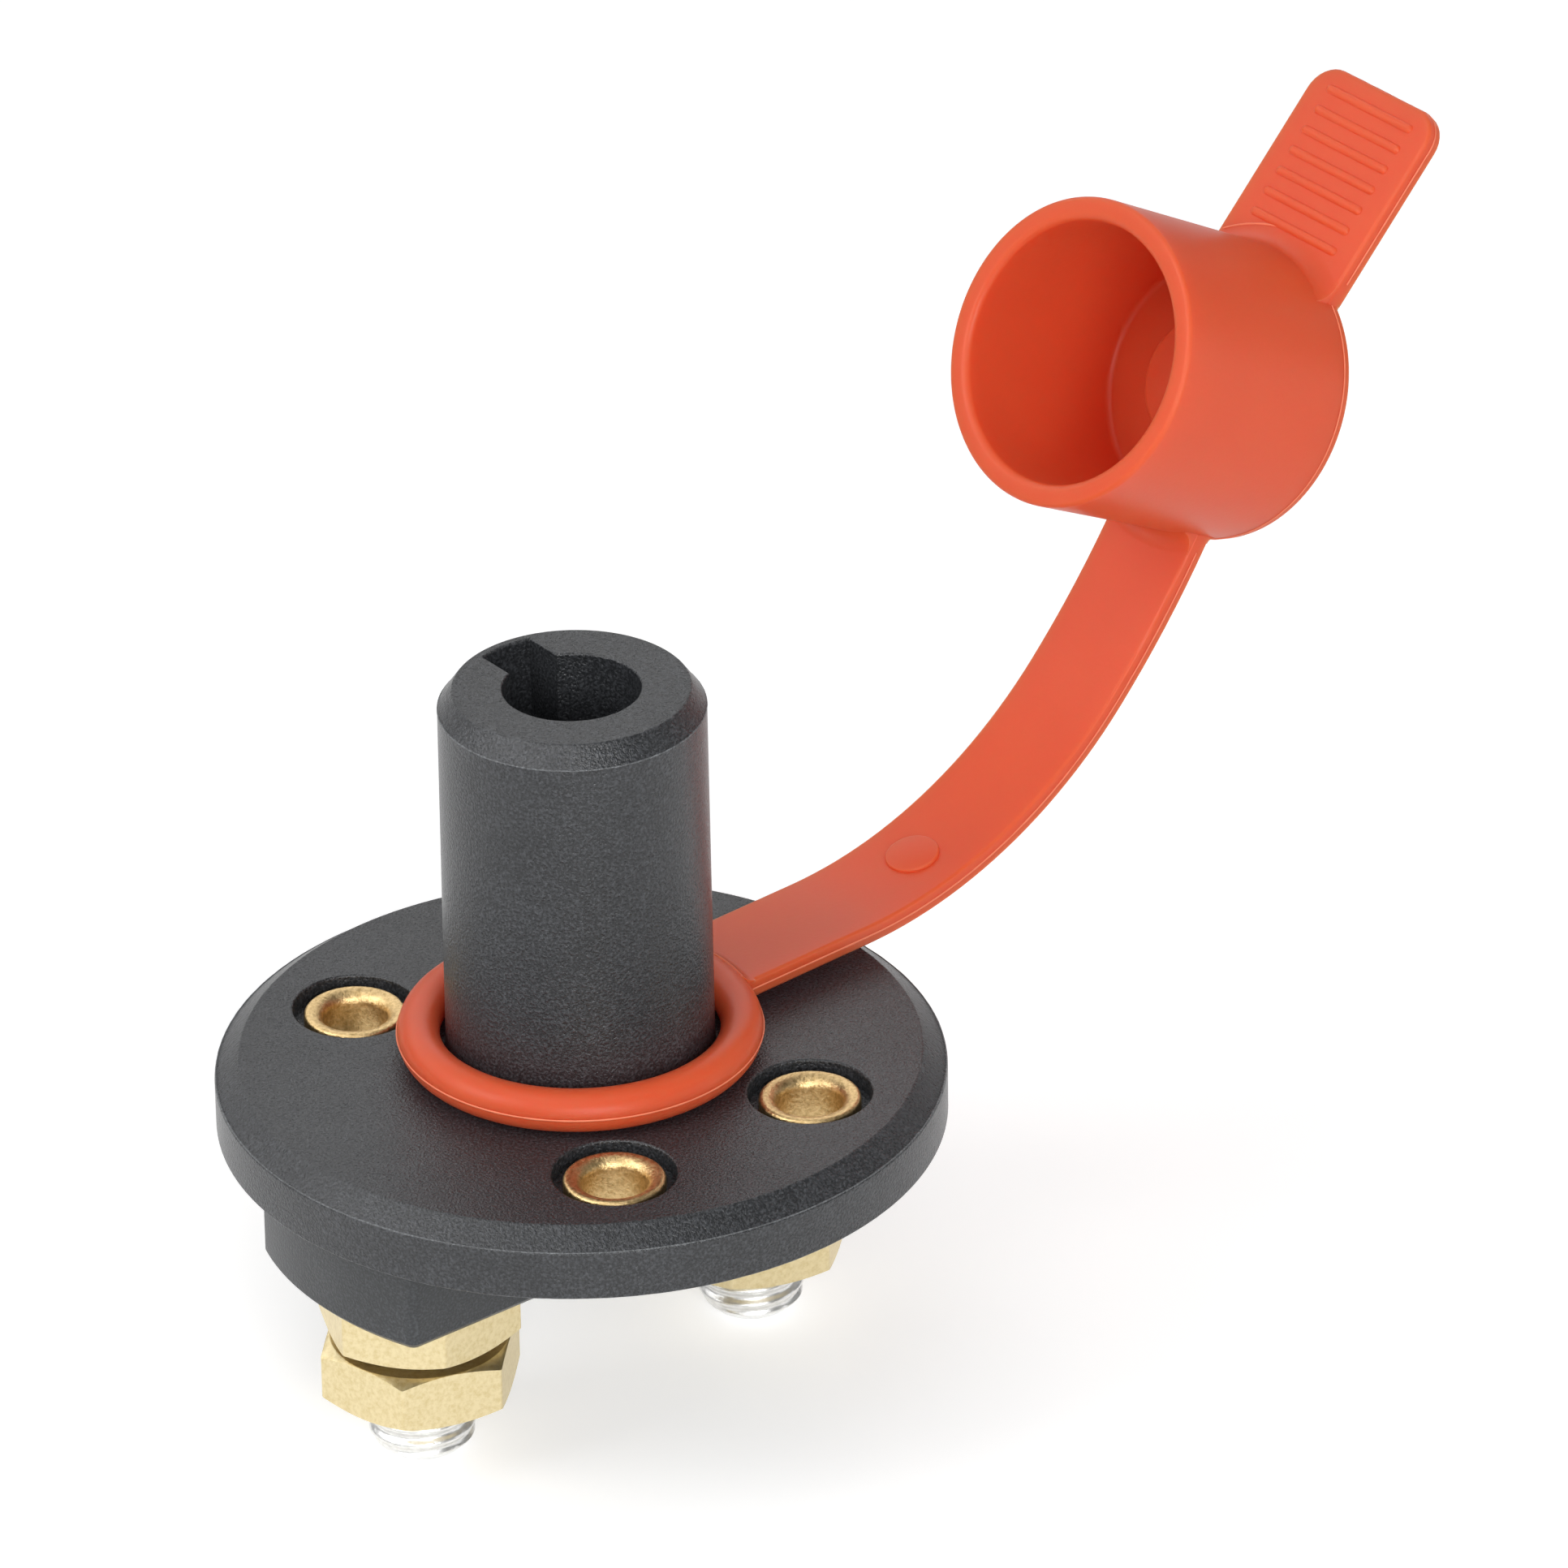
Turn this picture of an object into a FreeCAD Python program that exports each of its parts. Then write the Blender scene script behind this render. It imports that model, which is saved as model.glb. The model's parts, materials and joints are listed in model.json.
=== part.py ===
import FreeCAD, Part
import math
import os

# Battery isolation switch for a vehicle panel, with its tethered sealing cap.
# Millimetres. The origin is the centre of the mounting face, the underside of the flange.
# +Z runs up the key barrel, +X along the two terminal studs, +Y towards the key slot.

# Upper housing: round flange with the key barrel on it
flange_r = 34.0
flange_h = 6.5
flange_wall_h = 4.7
flange_bevel = 2.3
flange_skirt = 3.0
barrel_foot_r = 12.5
barrel_draft = 0.15
barrel_top = 44.7
barrel_bevel_r = 1.4
barrel_bevel_h = 2.0
key_bore_r = 6.35
slot_w = 5.4
slot_wall = 2.2
chamber_wall = 2.1
chamber_top = 24.0

# Contact base: round plate let into the flange, with the terminal block under it
base_gap = 0.1
base_plate_h = 3.5
block_h = 10.0
block_wall = 3.1
block_edge_r = 1.2
block_chamfer = 0.8
pocket_end_wall = 4.1
pocket_w = 17.0
pocket_floor = 2.5
pocket_corner = 2.0

# Fixing eyelets: hollow rivets that join the two mouldings and take the panel screws
eyelet_edge = 8.1
eyelet_lean = 30.0
eyelet_bore_r = 3.0
eyelet_wall = 0.5
eyelet_gap = 0.1
eyelet_head_over = 1.25
eyelet_head_h = 1.25
eyelet_crest_w = 0.1
eyelet_edge_r = 0.4
eyelet_foot_h = 1.0
eyelet_foot_sink = 0.3
head_sink_gap = 1.0
head_sink_h = 1.7
foot_sink_gap = 0.15

# Terminal studs and nuts
stud_r = 5.0
stud_gap = 0.2
stud_reach = 18.2
stud_chamfer = 0.9
stud_head_l = 14.2
stud_head_h = 3.0
head_side_gap = 0.2
nut_flats = 17.0
nut_h = 5.5
nut_space = 1.0
nut_bore_gap = 0.05
inner_nut_turns = (7.0, 15.0)
outer_nut_turns = (43.0, 41.0)

# Plunger, pushed down by the key, and what it carries
plunger_gap = 0.05
plunger_top_gap = 0.1
plunger_crown_h = 3.0
plunger_skirt_wall = 2.15
plunger_skirt_gap = 0.4
stem_r = 2.5
stem_tip_gap = 0.4
plunger_travel = 4.5
dimple_r = 3.0
dimple_h = 1.2
seal_wire_r = 0.85
seal_drop = 0.6
seal_side_gap = 0.05

# Contact bridge and springs
bridge_over = 3.5
bridge_side_gap = 3.0
bridge_end_flat = 1.5
bridge_t = 2.5
contact_gap = 3.5
bridge_hole_gap = 0.2
seat_over = 0.9
seat_h = 0.8
clip_w = 1.5
clip_h = 0.8
clip_gap = 0.1
clip_sink = 0.3
contact_wire_r = 0.6
contact_coil_gap = 2.1
contact_turns = 6.5
return_wire_r = 0.4
return_coil_gap = 0.6
return_turns = 2.5

# Sealing cap: ring, strap, cup and tab moulded in one piece of soft plastic
cap_turn = 3.2
ring_gap = 0.5
ring_tube_r = 2.0
ring_lift = 0.2
strap_w = 11.2
strap_t = 2.0
strap_round = 0.35
strap_flat = 14.0
bend_1_r = 45.0
bend_1_angle = 44.7
bend_2_r = 90.0
bend_2_angle = 55.4
strap_mark_run = 10.8
strap_mark_r = 2.6
strap_mark_h = 0.35
strap_skin = 0.25
cup_lean = 61.1
cup_depth = 24.4
cup_fit = 0.2
cup_wall = 2.2
cup_draft = 0.5
cup_bore_draft = 0.35
cup_floor_t = 4.1
cup_round = 0.5
plug_gap = 0.15
plug_h = 2.0
strap_lift = 3.3
tab_bury = 3.2
tab_inset = 1.0
tab_w = 17.0
tab_t = 2.0
tab_reach = 18.7
tab_lean = 46.5
tab_turn = -3.0
tab_corner_r = 3.0
rib_count = 7
rib_first = 2.9
rib_last = 2.18
rib_side = 2.35
rib_r = 0.55
rib_proud = 0.45

over = 1.0

# Widths that follow from the flange and the barrel
base_r = flange_r - flange_skirt - base_gap
eyelet_circle_r = base_r - eyelet_edge
eyelet_tube_r = eyelet_bore_r + eyelet_wall
eyelet_hole_r = eyelet_tube_r + eyelet_gap
eyelet_head_r = eyelet_tube_r + eyelet_head_over
head_sink_r = eyelet_head_r + head_sink_gap
foot_sink_r = eyelet_head_r + foot_sink_gap
pocket_l = 2 * (base_r - pocket_end_wall)
block_w = pocket_w + 2 * block_wall
stud_x = pocket_l / 2 - head_side_gap - stud_head_l / 2
barrel_tip_r = barrel_foot_r - barrel_draft
slot_reach = barrel_tip_r - slot_wall
chamber_r = barrel_foot_r - chamber_wall
plunger_r = chamber_r - plunger_gap
skirt_r = plunger_r - plunger_skirt_wall
contact_coil_r = skirt_r - contact_coil_gap - contact_wire_r
seat_r = contact_coil_r + contact_wire_r + seat_over
clip_r = stem_r + clip_w
return_coil_r = clip_r + return_coil_gap + return_wire_r
bridge_l = 2 * (stud_x + bridge_over)
bridge_w = pocket_w - 2 * bridge_side_gap
ring_r = barrel_foot_r + ring_gap + ring_tube_r
cup_bore_r = barrel_tip_r + cup_fit
cup_floor_r = cup_bore_r - cup_bore_draft
cup_mouth_r = cup_bore_r + cup_wall
cup_base_r = cup_mouth_r - cup_draft
plug_r = key_bore_r - plug_gap

# Heights shared by several pieces
foot_sink_h = eyelet_foot_sink + eyelet_foot_h
head_seat = flange_h - head_sink_h
pocket_bottom = pocket_floor - block_h
stud_head_top = pocket_bottom + stud_head_h
bridge_bottom = stud_head_top + contact_gap
bridge_top = bridge_bottom + bridge_t
seat_top = bridge_top + seat_h
plunger_top = chamber_top - plunger_top_gap
crown_bottom = plunger_top - plunger_crown_h
plunger_skirt_bottom = base_plate_h + plunger_travel + plunger_skirt_gap
stem_tip = pocket_bottom + plunger_travel + stem_tip_gap
clip_top = bridge_bottom - clip_gap
strap_mid_z = flange_h + ring_lift + ring_tube_r
strap_flat_end = ring_r + ring_tube_r + strap_flat


def point(x, z):
    return FreeCAD.Vector(x, 0, z)


def along(angle, distance):
    a = math.radians(angle)
    return FreeCAD.Vector(distance * math.cos(a), 0, distance * math.sin(a))


def cylinder(radius, z_low, z_high, x=0.0, y=0.0):
    return Part.makeCylinder(radius, z_high - z_low, FreeCAD.Vector(x, y, z_low))


def block(x_low, x_high, y_low, y_high, z_low, z_high):
    corner = FreeCAD.Vector(x_low, y_low, z_low)
    return Part.makeBox(x_high - x_low, y_high - y_low, z_high - z_low, corner)


def turned(points):
    """Solid of revolution about Z from a closed outline of (radius, height) points."""
    corners = [point(r, z) for r, z in points]
    face = Part.Face(Part.makePolygon(corners + [corners[0]]))
    return face.revolve(FreeCAD.Vector(0, 0, 0), FreeCAD.Vector(0, 0, 1), 360)


def rounded_block(length, width, z_low, z_high, corner_r):
    shape = block(-length / 2, length / 2, -width / 2, width / 2, z_low, z_high)
    half_h = (z_high - z_low) / 2
    upright = [e for e in shape.Edges if abs(e.Vertexes[0].Z - e.Vertexes[1].Z) > half_h]
    return shape.makeFillet(corner_r, upright)


def eyelet_places():
    x = eyelet_circle_r * math.sin(math.radians(eyelet_lean))
    y = eyelet_circle_r * math.cos(math.radians(eyelet_lean))
    return [(sx * x, sy * y) for sy in (-1, 1) for sx in (-1, 1)]


def upper_housing():
    shape = turned([
        (0, 0), (flange_r, 0), (flange_r, flange_wall_h), (flange_r - flange_bevel, flange_h),
        (barrel_foot_r, flange_h), (barrel_tip_r, barrel_top - barrel_bevel_h),
        (barrel_tip_r - barrel_bevel_r, barrel_top), (0, barrel_top)])
    slot = block(-slot_w / 2, slot_w / 2, 0, slot_reach, chamber_top - over, barrel_top + over)
    slot = slot.common(cylinder(slot_reach, chamber_top - over, barrel_top + over))
    cuts = [
        cylinder(base_r + base_gap, -over, base_plate_h),
        cylinder(chamber_r, base_plate_h - over, chamber_top),
        cylinder(key_bore_r, chamber_top - over, barrel_top + over),
        slot]
    for x, y in eyelet_places():
        cuts.append(cylinder(eyelet_hole_r, base_plate_h - over, flange_h, x, y))
        cuts.append(cylinder(head_sink_r, head_seat, flange_h + over, x, y))
    return shape.cut(cuts)


def contact_base():
    plate = cylinder(base_r, 0, base_plate_h)
    bar = cylinder(base_r, -block_h, over)
    bar = bar.common(block(-base_r, base_r, -block_w / 2, block_w / 2, -block_h, over))
    upright = [e for e in bar.Edges if e.BoundBox.ZLength > block_h]
    bar = bar.makeFillet(block_edge_r, upright)
    foot = [e for e in bar.Edges if e.BoundBox.ZMax < -block_h + 1e-6]
    bar = bar.makeChamfer(block_chamfer, foot)
    cuts = [rounded_block(pocket_l, pocket_w, pocket_bottom, base_plate_h + over, pocket_corner)]
    for x, y in eyelet_places():
        cuts.append(cylinder(eyelet_hole_r, -block_h - over, base_plate_h + over, x, y))
        cuts.append(cylinder(foot_sink_r, -block_h - over, foot_sink_h, x, y))
    for x in (-stud_x, stud_x):
        cuts.append(cylinder(stud_r + stud_gap, -block_h - over, pocket_bottom + over, x))
    return plate.fuse(bar).cut(cuts).removeSplitter()


def fixing_eyelet(x, y):
    """Hollow rivet: turned-out foot below, funnel-shaped rolled lip above."""
    lip_top = head_seat + eyelet_head_h
    crest_r = eyelet_head_r - eyelet_edge_r
    funnel_r = crest_r - eyelet_crest_w - eyelet_bore_r
    start = point(eyelet_bore_r, lip_top - funnel_r)
    crest_in = point(eyelet_bore_r + funnel_r, lip_top)
    crest_out = point(crest_r, lip_top)
    side = point(eyelet_head_r, lip_top - eyelet_edge_r)
    funnel_mid = crest_in - point(0, funnel_r) + along(135, funnel_r)
    edge_mid = crest_out - point(0, eyelet_edge_r) + along(45, eyelet_edge_r)
    corners = [
        side, point(eyelet_head_r, head_seat), point(eyelet_tube_r, head_seat),
        point(eyelet_tube_r, foot_sink_h), point(eyelet_head_r, foot_sink_h),
        point(eyelet_head_r, eyelet_foot_sink), point(eyelet_bore_r, eyelet_foot_sink), start]
    edges = [
        Part.Arc(start, funnel_mid, crest_in).toShape(),
        Part.LineSegment(crest_in, crest_out).toShape(),
        Part.Arc(crest_out, edge_mid, side).toShape()]
    for a, b in zip(corners, corners[1:]):
        edges.append(Part.LineSegment(a, b).toShape())
    face = Part.Face(Part.Wire(edges))
    shape = face.revolve(FreeCAD.Vector(0, 0, 0), FreeCAD.Vector(0, 0, 1), 360)
    shape.translate(FreeCAD.Vector(x, y, 0))
    return shape


def terminal_stud(x):
    tip = -block_h - stud_reach
    head_w = pocket_w - 2 * head_side_gap
    head = rounded_block(stud_head_l, head_w, pocket_bottom, stud_head_top, pocket_corner)
    shank = turned([
        (0, tip), (stud_r - stud_chamfer, tip), (stud_r, tip + stud_chamfer),
        (stud_r, stud_head_top), (0, stud_head_top)])
    shape = head.fuse(shank).removeSplitter()
    shape.translate(FreeCAD.Vector(x, 0, 0))
    return shape


def nut(x, z_top, turn):
    """Hexagon nut with both faces bevelled to the width across its flats."""
    corner_r = nut_flats / math.sqrt(3)
    corners = []
    for k in range(7):
        a = math.radians(60 * k + turn)
        corners.append(FreeCAD.Vector(corner_r * math.cos(a), corner_r * math.sin(a), 0))
    prism = Part.Face(Part.makePolygon(corners)).extrude(FreeCAD.Vector(0, 0, nut_h))
    bevel = (corner_r - nut_flats / 2) * math.tan(math.radians(30))
    bevelled = turned([
        (0, 0), (nut_flats / 2, 0), (corner_r, bevel), (corner_r, nut_h - bevel),
        (nut_flats / 2, nut_h), (0, nut_h)])
    shape = prism.common(bevelled).cut(cylinder(stud_r + nut_bore_gap, -over, nut_h + over))
    shape.translate(FreeCAD.Vector(x, 0, z_top - nut_h))
    return shape


def plunger():
    shape = turned([
        (0, stem_tip), (stem_r, stem_tip), (stem_r, crown_bottom), (skirt_r, crown_bottom),
        (skirt_r, plunger_skirt_bottom), (plunger_r, plunger_skirt_bottom),
        (plunger_r, plunger_top), (dimple_r, plunger_top), (0, plunger_top - dimple_h)])
    seal_top = plunger_top - seal_drop
    seal_low = seal_top - 2 * (seal_wire_r + seal_side_gap)
    seal_floor_r = plunger_r - 2 * seal_wire_r
    groove = cylinder(plunger_r + over, seal_low, seal_top)
    groove = groove.cut(cylinder(seal_floor_r, seal_low - over, seal_top + over))
    clip_groove = cylinder(stem_r + over, clip_top - clip_h, clip_top)
    clip_groove = clip_groove.cut(
        cylinder(stem_r - clip_sink, clip_top - clip_h - over, clip_top + over))
    return shape.cut([groove, clip_groove])


def plunger_seal():
    centre_z = plunger_top - seal_drop - seal_side_gap - seal_wire_r
    return Part.makeTorus(plunger_r - seal_wire_r, seal_wire_r, FreeCAD.Vector(0, 0, centre_z))


def retaining_clip():
    """Push-on clip with one gap, sprung into the groove near the stem's tip."""
    ring = cylinder(clip_r, clip_top - clip_h, clip_top)
    hole = cylinder(stem_r - clip_sink, clip_top - clip_h - over, clip_top + over)
    gap = block(0, clip_r + over, -stem_r / 2, stem_r / 2, clip_top - clip_h - over, clip_top + over)
    return ring.cut([hole, gap])


def contact_bridge():
    end_r = bridge_w / 2 - bridge_end_flat
    bar = rounded_block(bridge_l, bridge_w, bridge_bottom, bridge_top, end_r)
    return bar.cut(cylinder(stem_r + bridge_hole_gap, bridge_bottom - over, bridge_top + over))


def spring_seat():
    washer = cylinder(seat_r, bridge_top, seat_top)
    return washer.cut(cylinder(stem_r + bridge_hole_gap, bridge_top - over, seat_top + over))


def coil_spring(z_low, z_high, coil_r, wire_r, turns):
    """Helical wire that just fills the space between its two seats."""
    rise = z_high - z_low - 2 * wire_r
    path = Part.Wire([Part.makeHelix(rise / turns, rise, coil_r)])
    pitch_angle = math.degrees(math.atan2(rise / turns, 2 * math.pi * coil_r))
    across = FreeCAD.Vector(0, math.cos(math.radians(pitch_angle)),
                            math.sin(math.radians(pitch_angle)))
    section = Part.Wire([Part.makeCircle(wire_r, FreeCAD.Vector(coil_r, 0, 0), across)])
    shape = path.makePipeShell([section], True, True)
    shape.translate(FreeCAD.Vector(0, 0, z_low + wire_r))
    return shape


def bend_centres():
    """Centres of the strap's two bends in its side view."""
    centre_1 = point(strap_flat_end, strap_mid_z + bend_1_r)
    centre_2 = centre_1 + along(bend_1_angle - 90, bend_1_r - bend_2_r)
    return centre_1, centre_2


def strap_line(offset):
    """Edges of the strap's side view, offset from its middle plane, and their two ends."""
    centre_1, centre_2 = bend_centres()
    r1 = bend_1_r - offset
    r2 = bend_2_r - offset
    start = point(ring_r, strap_mid_z + offset)
    a = point(strap_flat_end, strap_mid_z + offset)
    b = centre_1 + along(bend_1_angle - 90, r1)
    c = centre_2 + along(bend_2_angle - 90, r2)
    end = c + along(bend_2_angle, cup_base_r - cup_floor_r - strap_skin)
    mid_1 = centre_1 + along(bend_1_angle / 2 - 90, r1)
    mid_2 = centre_2 + along((bend_1_angle + bend_2_angle) / 2 - 90, r2)
    edges = [
        Part.LineSegment(start, a).toShape(), Part.Arc(a, mid_1, b).toShape(),
        Part.Arc(b, mid_2, c).toShape(), Part.LineSegment(c, end).toShape()]
    return edges, start, end


def strap():
    top, top_start, top_end = strap_line(strap_t / 2)
    low, low_start, low_end = strap_line(-strap_t / 2)
    ends = [Part.LineSegment(top_start, low_start).toShape(),
            Part.LineSegment(top_end, low_end).toShape()]
    wire = Part.Wire(Part.__sortEdges__(top + low + ends))
    face = Part.Face(wire)
    face.translate(FreeCAD.Vector(0, -strap_w / 2, 0))
    shape = face.extrude(FreeCAD.Vector(0, strap_w, 0))
    rims = []
    for edge in shape.Edges:
        flat_side = abs(edge.BoundBox.YMax - edge.BoundBox.YMin) < 1e-6
        if flat_side and edge.Length > strap_t + 1e-3:
            rims.append(edge)
    shape = shape.makeFillet(strap_round, rims)
    climb = math.degrees(math.asin(strap_mark_run / bend_1_r))
    mark = Part.makeCylinder(strap_mark_r, strap_t / 2 + strap_mark_h)
    mark.rotate(FreeCAD.Vector(0, 0, 0), FreeCAD.Vector(0, 1, 0), -climb)
    mark.translate(bend_centres()[0] + along(climb - 90, bend_1_r))
    return shape.fuse(mark)


def cup_end():
    """Centre of the cup's closed end face, set by where the strap runs into the cup's wall."""
    strap_end = bend_centres()[1] + along(bend_2_angle - 90, bend_2_r)
    return strap_end + along(cup_lean, cup_base_r) + along(cup_lean - 90, strap_lift)


def cup():
    shape = turned([
        (0, 0), (cup_base_r, 0), (cup_mouth_r, cup_depth), (cup_bore_r, cup_depth),
        (cup_floor_r, cup_floor_t), (plug_r, cup_floor_t), (plug_r, cup_floor_t + plug_h),
        (0, cup_floor_t + plug_h)])
    rims = []
    for edge in shape.Edges:
        heights = [v.Z for v in edge.Vertexes]
        level = max(heights) - min(heights) < 1e-6
        at_end = abs(heights[0]) < 1e-6 or abs(heights[0] - cup_depth) < 1e-6
        at_plug = abs(heights[0] - cup_floor_t - plug_h) < 1e-6
        if level and (at_end or at_plug):
            rims.append(edge)
    shape = shape.makeFillet(cup_round, rims)
    shape.rotate(FreeCAD.Vector(0, 0, 0), FreeCAD.Vector(0, 1, 0), -cup_lean)
    shape.translate(cup_end())
    return shape


def tab():
    """Pull tab with grip ribs, built flat along X and then leaned back from the cup.

    Its root runs on into the cup's floor, and is trimmed level with the closed end.
    """
    shape = block(-tab_bury, tab_reach, -tab_w / 2, tab_w / 2, -tab_t / 2, tab_t / 2)
    far = [e for e in shape.Edges
           if e.BoundBox.XMin > tab_reach - 1e-6 and e.BoundBox.YLength < 1e-6]
    shape = shape.makeFillet(tab_corner_r, far)
    rims = []
    for edge in shape.Edges:
        if edge.BoundBox.ZLength < 1e-6 and edge.BoundBox.XMax > over - tab_bury:
            rims.append(edge)
    shape = shape.makeFillet(strap_round, rims)
    centre_z = tab_t / 2 + rib_proud - rib_r
    half = tab_w / 2 - rib_side - rib_r
    rib_pitch = (tab_reach - rib_first - rib_last) / (rib_count - 1)
    for k in range(rib_count):
        x = rib_first + k * rib_pitch
        rib = Part.makeCylinder(rib_r, 2 * half, FreeCAD.Vector(x, -half, centre_z),
                                FreeCAD.Vector(0, 1, 0))
        ends = [Part.makeSphere(rib_r, FreeCAD.Vector(x, y, centre_z)) for y in (-half, half)]
        shape = shape.fuse([rib] + ends)
    shape.rotate(FreeCAD.Vector(0, 0, 0), FreeCAD.Vector(0, 1, 0), -tab_lean)
    shape.rotate(FreeCAD.Vector(0, 0, 0), FreeCAD.Vector(0, 0, 1), tab_turn)
    shape.translate(cup_end() + along(cup_lean, cup_base_r - tab_inset))
    return shape.cut(Part.makeCylinder(
        cup_base_r, tab_bury, cup_end(), along(cup_lean - 90, 1)))


def sealing_cap():
    ring = Part.makeTorus(ring_r, ring_tube_r, FreeCAD.Vector(0, 0, strap_mid_z))
    shape = ring.fuse([strap(), cup(), tab()]).removeSplitter()
    shape.rotate(FreeCAD.Vector(0, 0, 0), FreeCAD.Vector(0, 0, 1), cap_turn)
    return shape


def save(name, shape):
    solids = shape.Solids
    shape = solids[0] if len(solids) == 1 else shape
    print(name, "solids", len(solids), "valid", shape.isValid(), "volume", round(shape.Volume, 1))
    shape.exportStep("parts/" + name + ".step")


os.makedirs("parts", exist_ok=True)
save("upper_housing", upper_housing())
save("contact_base", contact_base())
for number, (place_x, place_y) in enumerate(eyelet_places(), start=1):
    save("fixing_eyelet_" + str(number), fixing_eyelet(place_x, place_y))
for side, place_x, inner_turn, outer_turn in zip(
        ("left", "right"), (-stud_x, stud_x), inner_nut_turns, outer_nut_turns):
    save("terminal_stud_" + side, terminal_stud(place_x))
    save("inner_nut_" + side, nut(place_x, -block_h, inner_turn))
    save("outer_nut_" + side, nut(place_x, -block_h - nut_h - nut_space, outer_turn))
save("plunger", plunger())
save("plunger_seal", plunger_seal())
save("retaining_clip", retaining_clip())
save("contact_bridge", contact_bridge())
save("spring_seat", spring_seat())
save("contact_spring", coil_spring(
    seat_top, crown_bottom, contact_coil_r, contact_wire_r, contact_turns))
save("return_spring", coil_spring(
    pocket_bottom, bridge_bottom, return_coil_r, return_wire_r, return_turns))
save("sealing_cap", sealing_cap())
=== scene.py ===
# %% [markdown]
# # Battery isolation switch with a tethered sealing cap
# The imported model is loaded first. It fixes every size and place, so the pieces made below are
# worked out from its nodes. The frame is in metres and the outlines below are in millimetres. +Z
# runs up the key barrel, +X along the two terminal studs and +Y towards the key slot.

# %% Load the frame
import json
import math
from functools import partial

import bmesh
import bpy
from mathutils import Matrix, Vector


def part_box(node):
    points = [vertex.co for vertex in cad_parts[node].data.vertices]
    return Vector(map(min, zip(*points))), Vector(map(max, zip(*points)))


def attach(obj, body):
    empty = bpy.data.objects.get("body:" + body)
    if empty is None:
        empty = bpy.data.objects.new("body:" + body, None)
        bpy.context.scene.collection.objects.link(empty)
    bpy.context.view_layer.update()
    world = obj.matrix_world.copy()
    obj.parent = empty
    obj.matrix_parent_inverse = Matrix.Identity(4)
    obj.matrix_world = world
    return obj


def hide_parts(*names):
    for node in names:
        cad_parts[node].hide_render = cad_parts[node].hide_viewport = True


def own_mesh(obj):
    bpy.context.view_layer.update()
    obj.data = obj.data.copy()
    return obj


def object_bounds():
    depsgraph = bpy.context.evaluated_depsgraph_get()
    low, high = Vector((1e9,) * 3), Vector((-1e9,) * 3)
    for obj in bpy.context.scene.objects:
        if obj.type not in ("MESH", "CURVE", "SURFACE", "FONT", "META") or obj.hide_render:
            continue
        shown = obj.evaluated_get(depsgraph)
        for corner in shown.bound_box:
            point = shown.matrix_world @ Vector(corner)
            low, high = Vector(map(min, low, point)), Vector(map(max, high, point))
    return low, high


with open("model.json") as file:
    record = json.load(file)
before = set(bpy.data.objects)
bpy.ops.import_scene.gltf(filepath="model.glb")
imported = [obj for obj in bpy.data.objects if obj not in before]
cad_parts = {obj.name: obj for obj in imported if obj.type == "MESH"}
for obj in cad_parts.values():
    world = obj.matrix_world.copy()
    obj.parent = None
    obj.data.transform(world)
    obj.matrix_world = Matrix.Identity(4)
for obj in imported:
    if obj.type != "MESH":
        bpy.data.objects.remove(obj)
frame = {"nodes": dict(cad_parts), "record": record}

cad_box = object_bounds()
MM = 0.001
for node in sorted(frame["nodes"]):
    low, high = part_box(node)
    print(node, [round(v / MM, 2) for v in (*low, *high)])

# %% [markdown]
# ## Camera
# The switch was photographed from some way off with a long lens, looking down by about 29
# degrees. Place, aim and lens were solved from the round edges of flange and barrel. The camera
# is built from its own three directions, because the solved view has a little roll.

# %% Camera
PHOTO_TURN = math.radians(37.0)
CAMERA_DISTANCE = 1.03981
CAMERA_HEIGHT = 0.61278
CAMERA_PAN = math.radians(1.0596)
CAMERA_TILT = math.radians(29.0984)
CAMERA_ROLL = math.radians(-0.9418)
CAMERA_LENS = 298.137
SENSOR_WIDTH = 36.0

forward = Vector((math.sin(CAMERA_PAN) * math.cos(CAMERA_TILT),
                  math.cos(CAMERA_PAN) * math.cos(CAMERA_TILT),
                  -math.sin(CAMERA_TILT)))
level_right = Vector((math.cos(CAMERA_PAN), -math.sin(CAMERA_PAN), 0))
level_up = level_right.cross(forward)
right = math.cos(CAMERA_ROLL) * level_right + math.sin(CAMERA_ROLL) * level_up
up = math.cos(CAMERA_ROLL) * level_up - math.sin(CAMERA_ROLL) * level_right
aim = Matrix((right, up, -forward)).transposed().to_4x4()
to_object = Matrix.Rotation(-PHOTO_TURN, 4, "Z")
place = Matrix.Translation((0, -CAMERA_DISTANCE, CAMERA_HEIGHT))


def new_object(name, data):
    """An object for a mesh, a lamp or a camera, linked to the scene."""
    made = bpy.data.objects.new(name, data)
    bpy.context.scene.collection.objects.link(made)
    return made


camera_data = bpy.data.cameras.new("photo_camera")
camera_data.lens = CAMERA_LENS
camera_data.sensor_width = SENSOR_WIDTH
camera = new_object("photo_camera", camera_data)
camera.matrix_world = to_object @ place @ aim
bpy.context.scene.camera = camera
print("camera stands at", [round(v, 4) for v in camera.matrix_world.translation])

# %% [markdown]
# ## Floor and lights
# The product stands on white with no visible edge. The floor is a pale sheet that takes the
# shadow. Seen by the camera or mirrored in metal it also glows, more so with distance, so it
# runs into the white behind it. The lamps are four soft boxes: a key light to the left, a weak
# fill low on the right, one overhead, and one beside the camera for the inside of the cup.

# %% Helpers for node trees
slot_names = {}


def new_material(name, slot=None):
    """A material with its node tree, and its main shader."""
    material = bpy.data.materials.new(name)
    slot_names[material.name] = slot or name
    material.use_nodes = True
    return material, material.node_tree, material.node_tree.nodes["Principled BSDF"]


def settle(node, **values):
    """Gives a node's inputs and settings their values by name."""
    for name, value in values.items():
        if name in node.inputs:
            node.inputs[name].default_value = value
        else:
            setattr(node, name, value)
    return node


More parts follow.
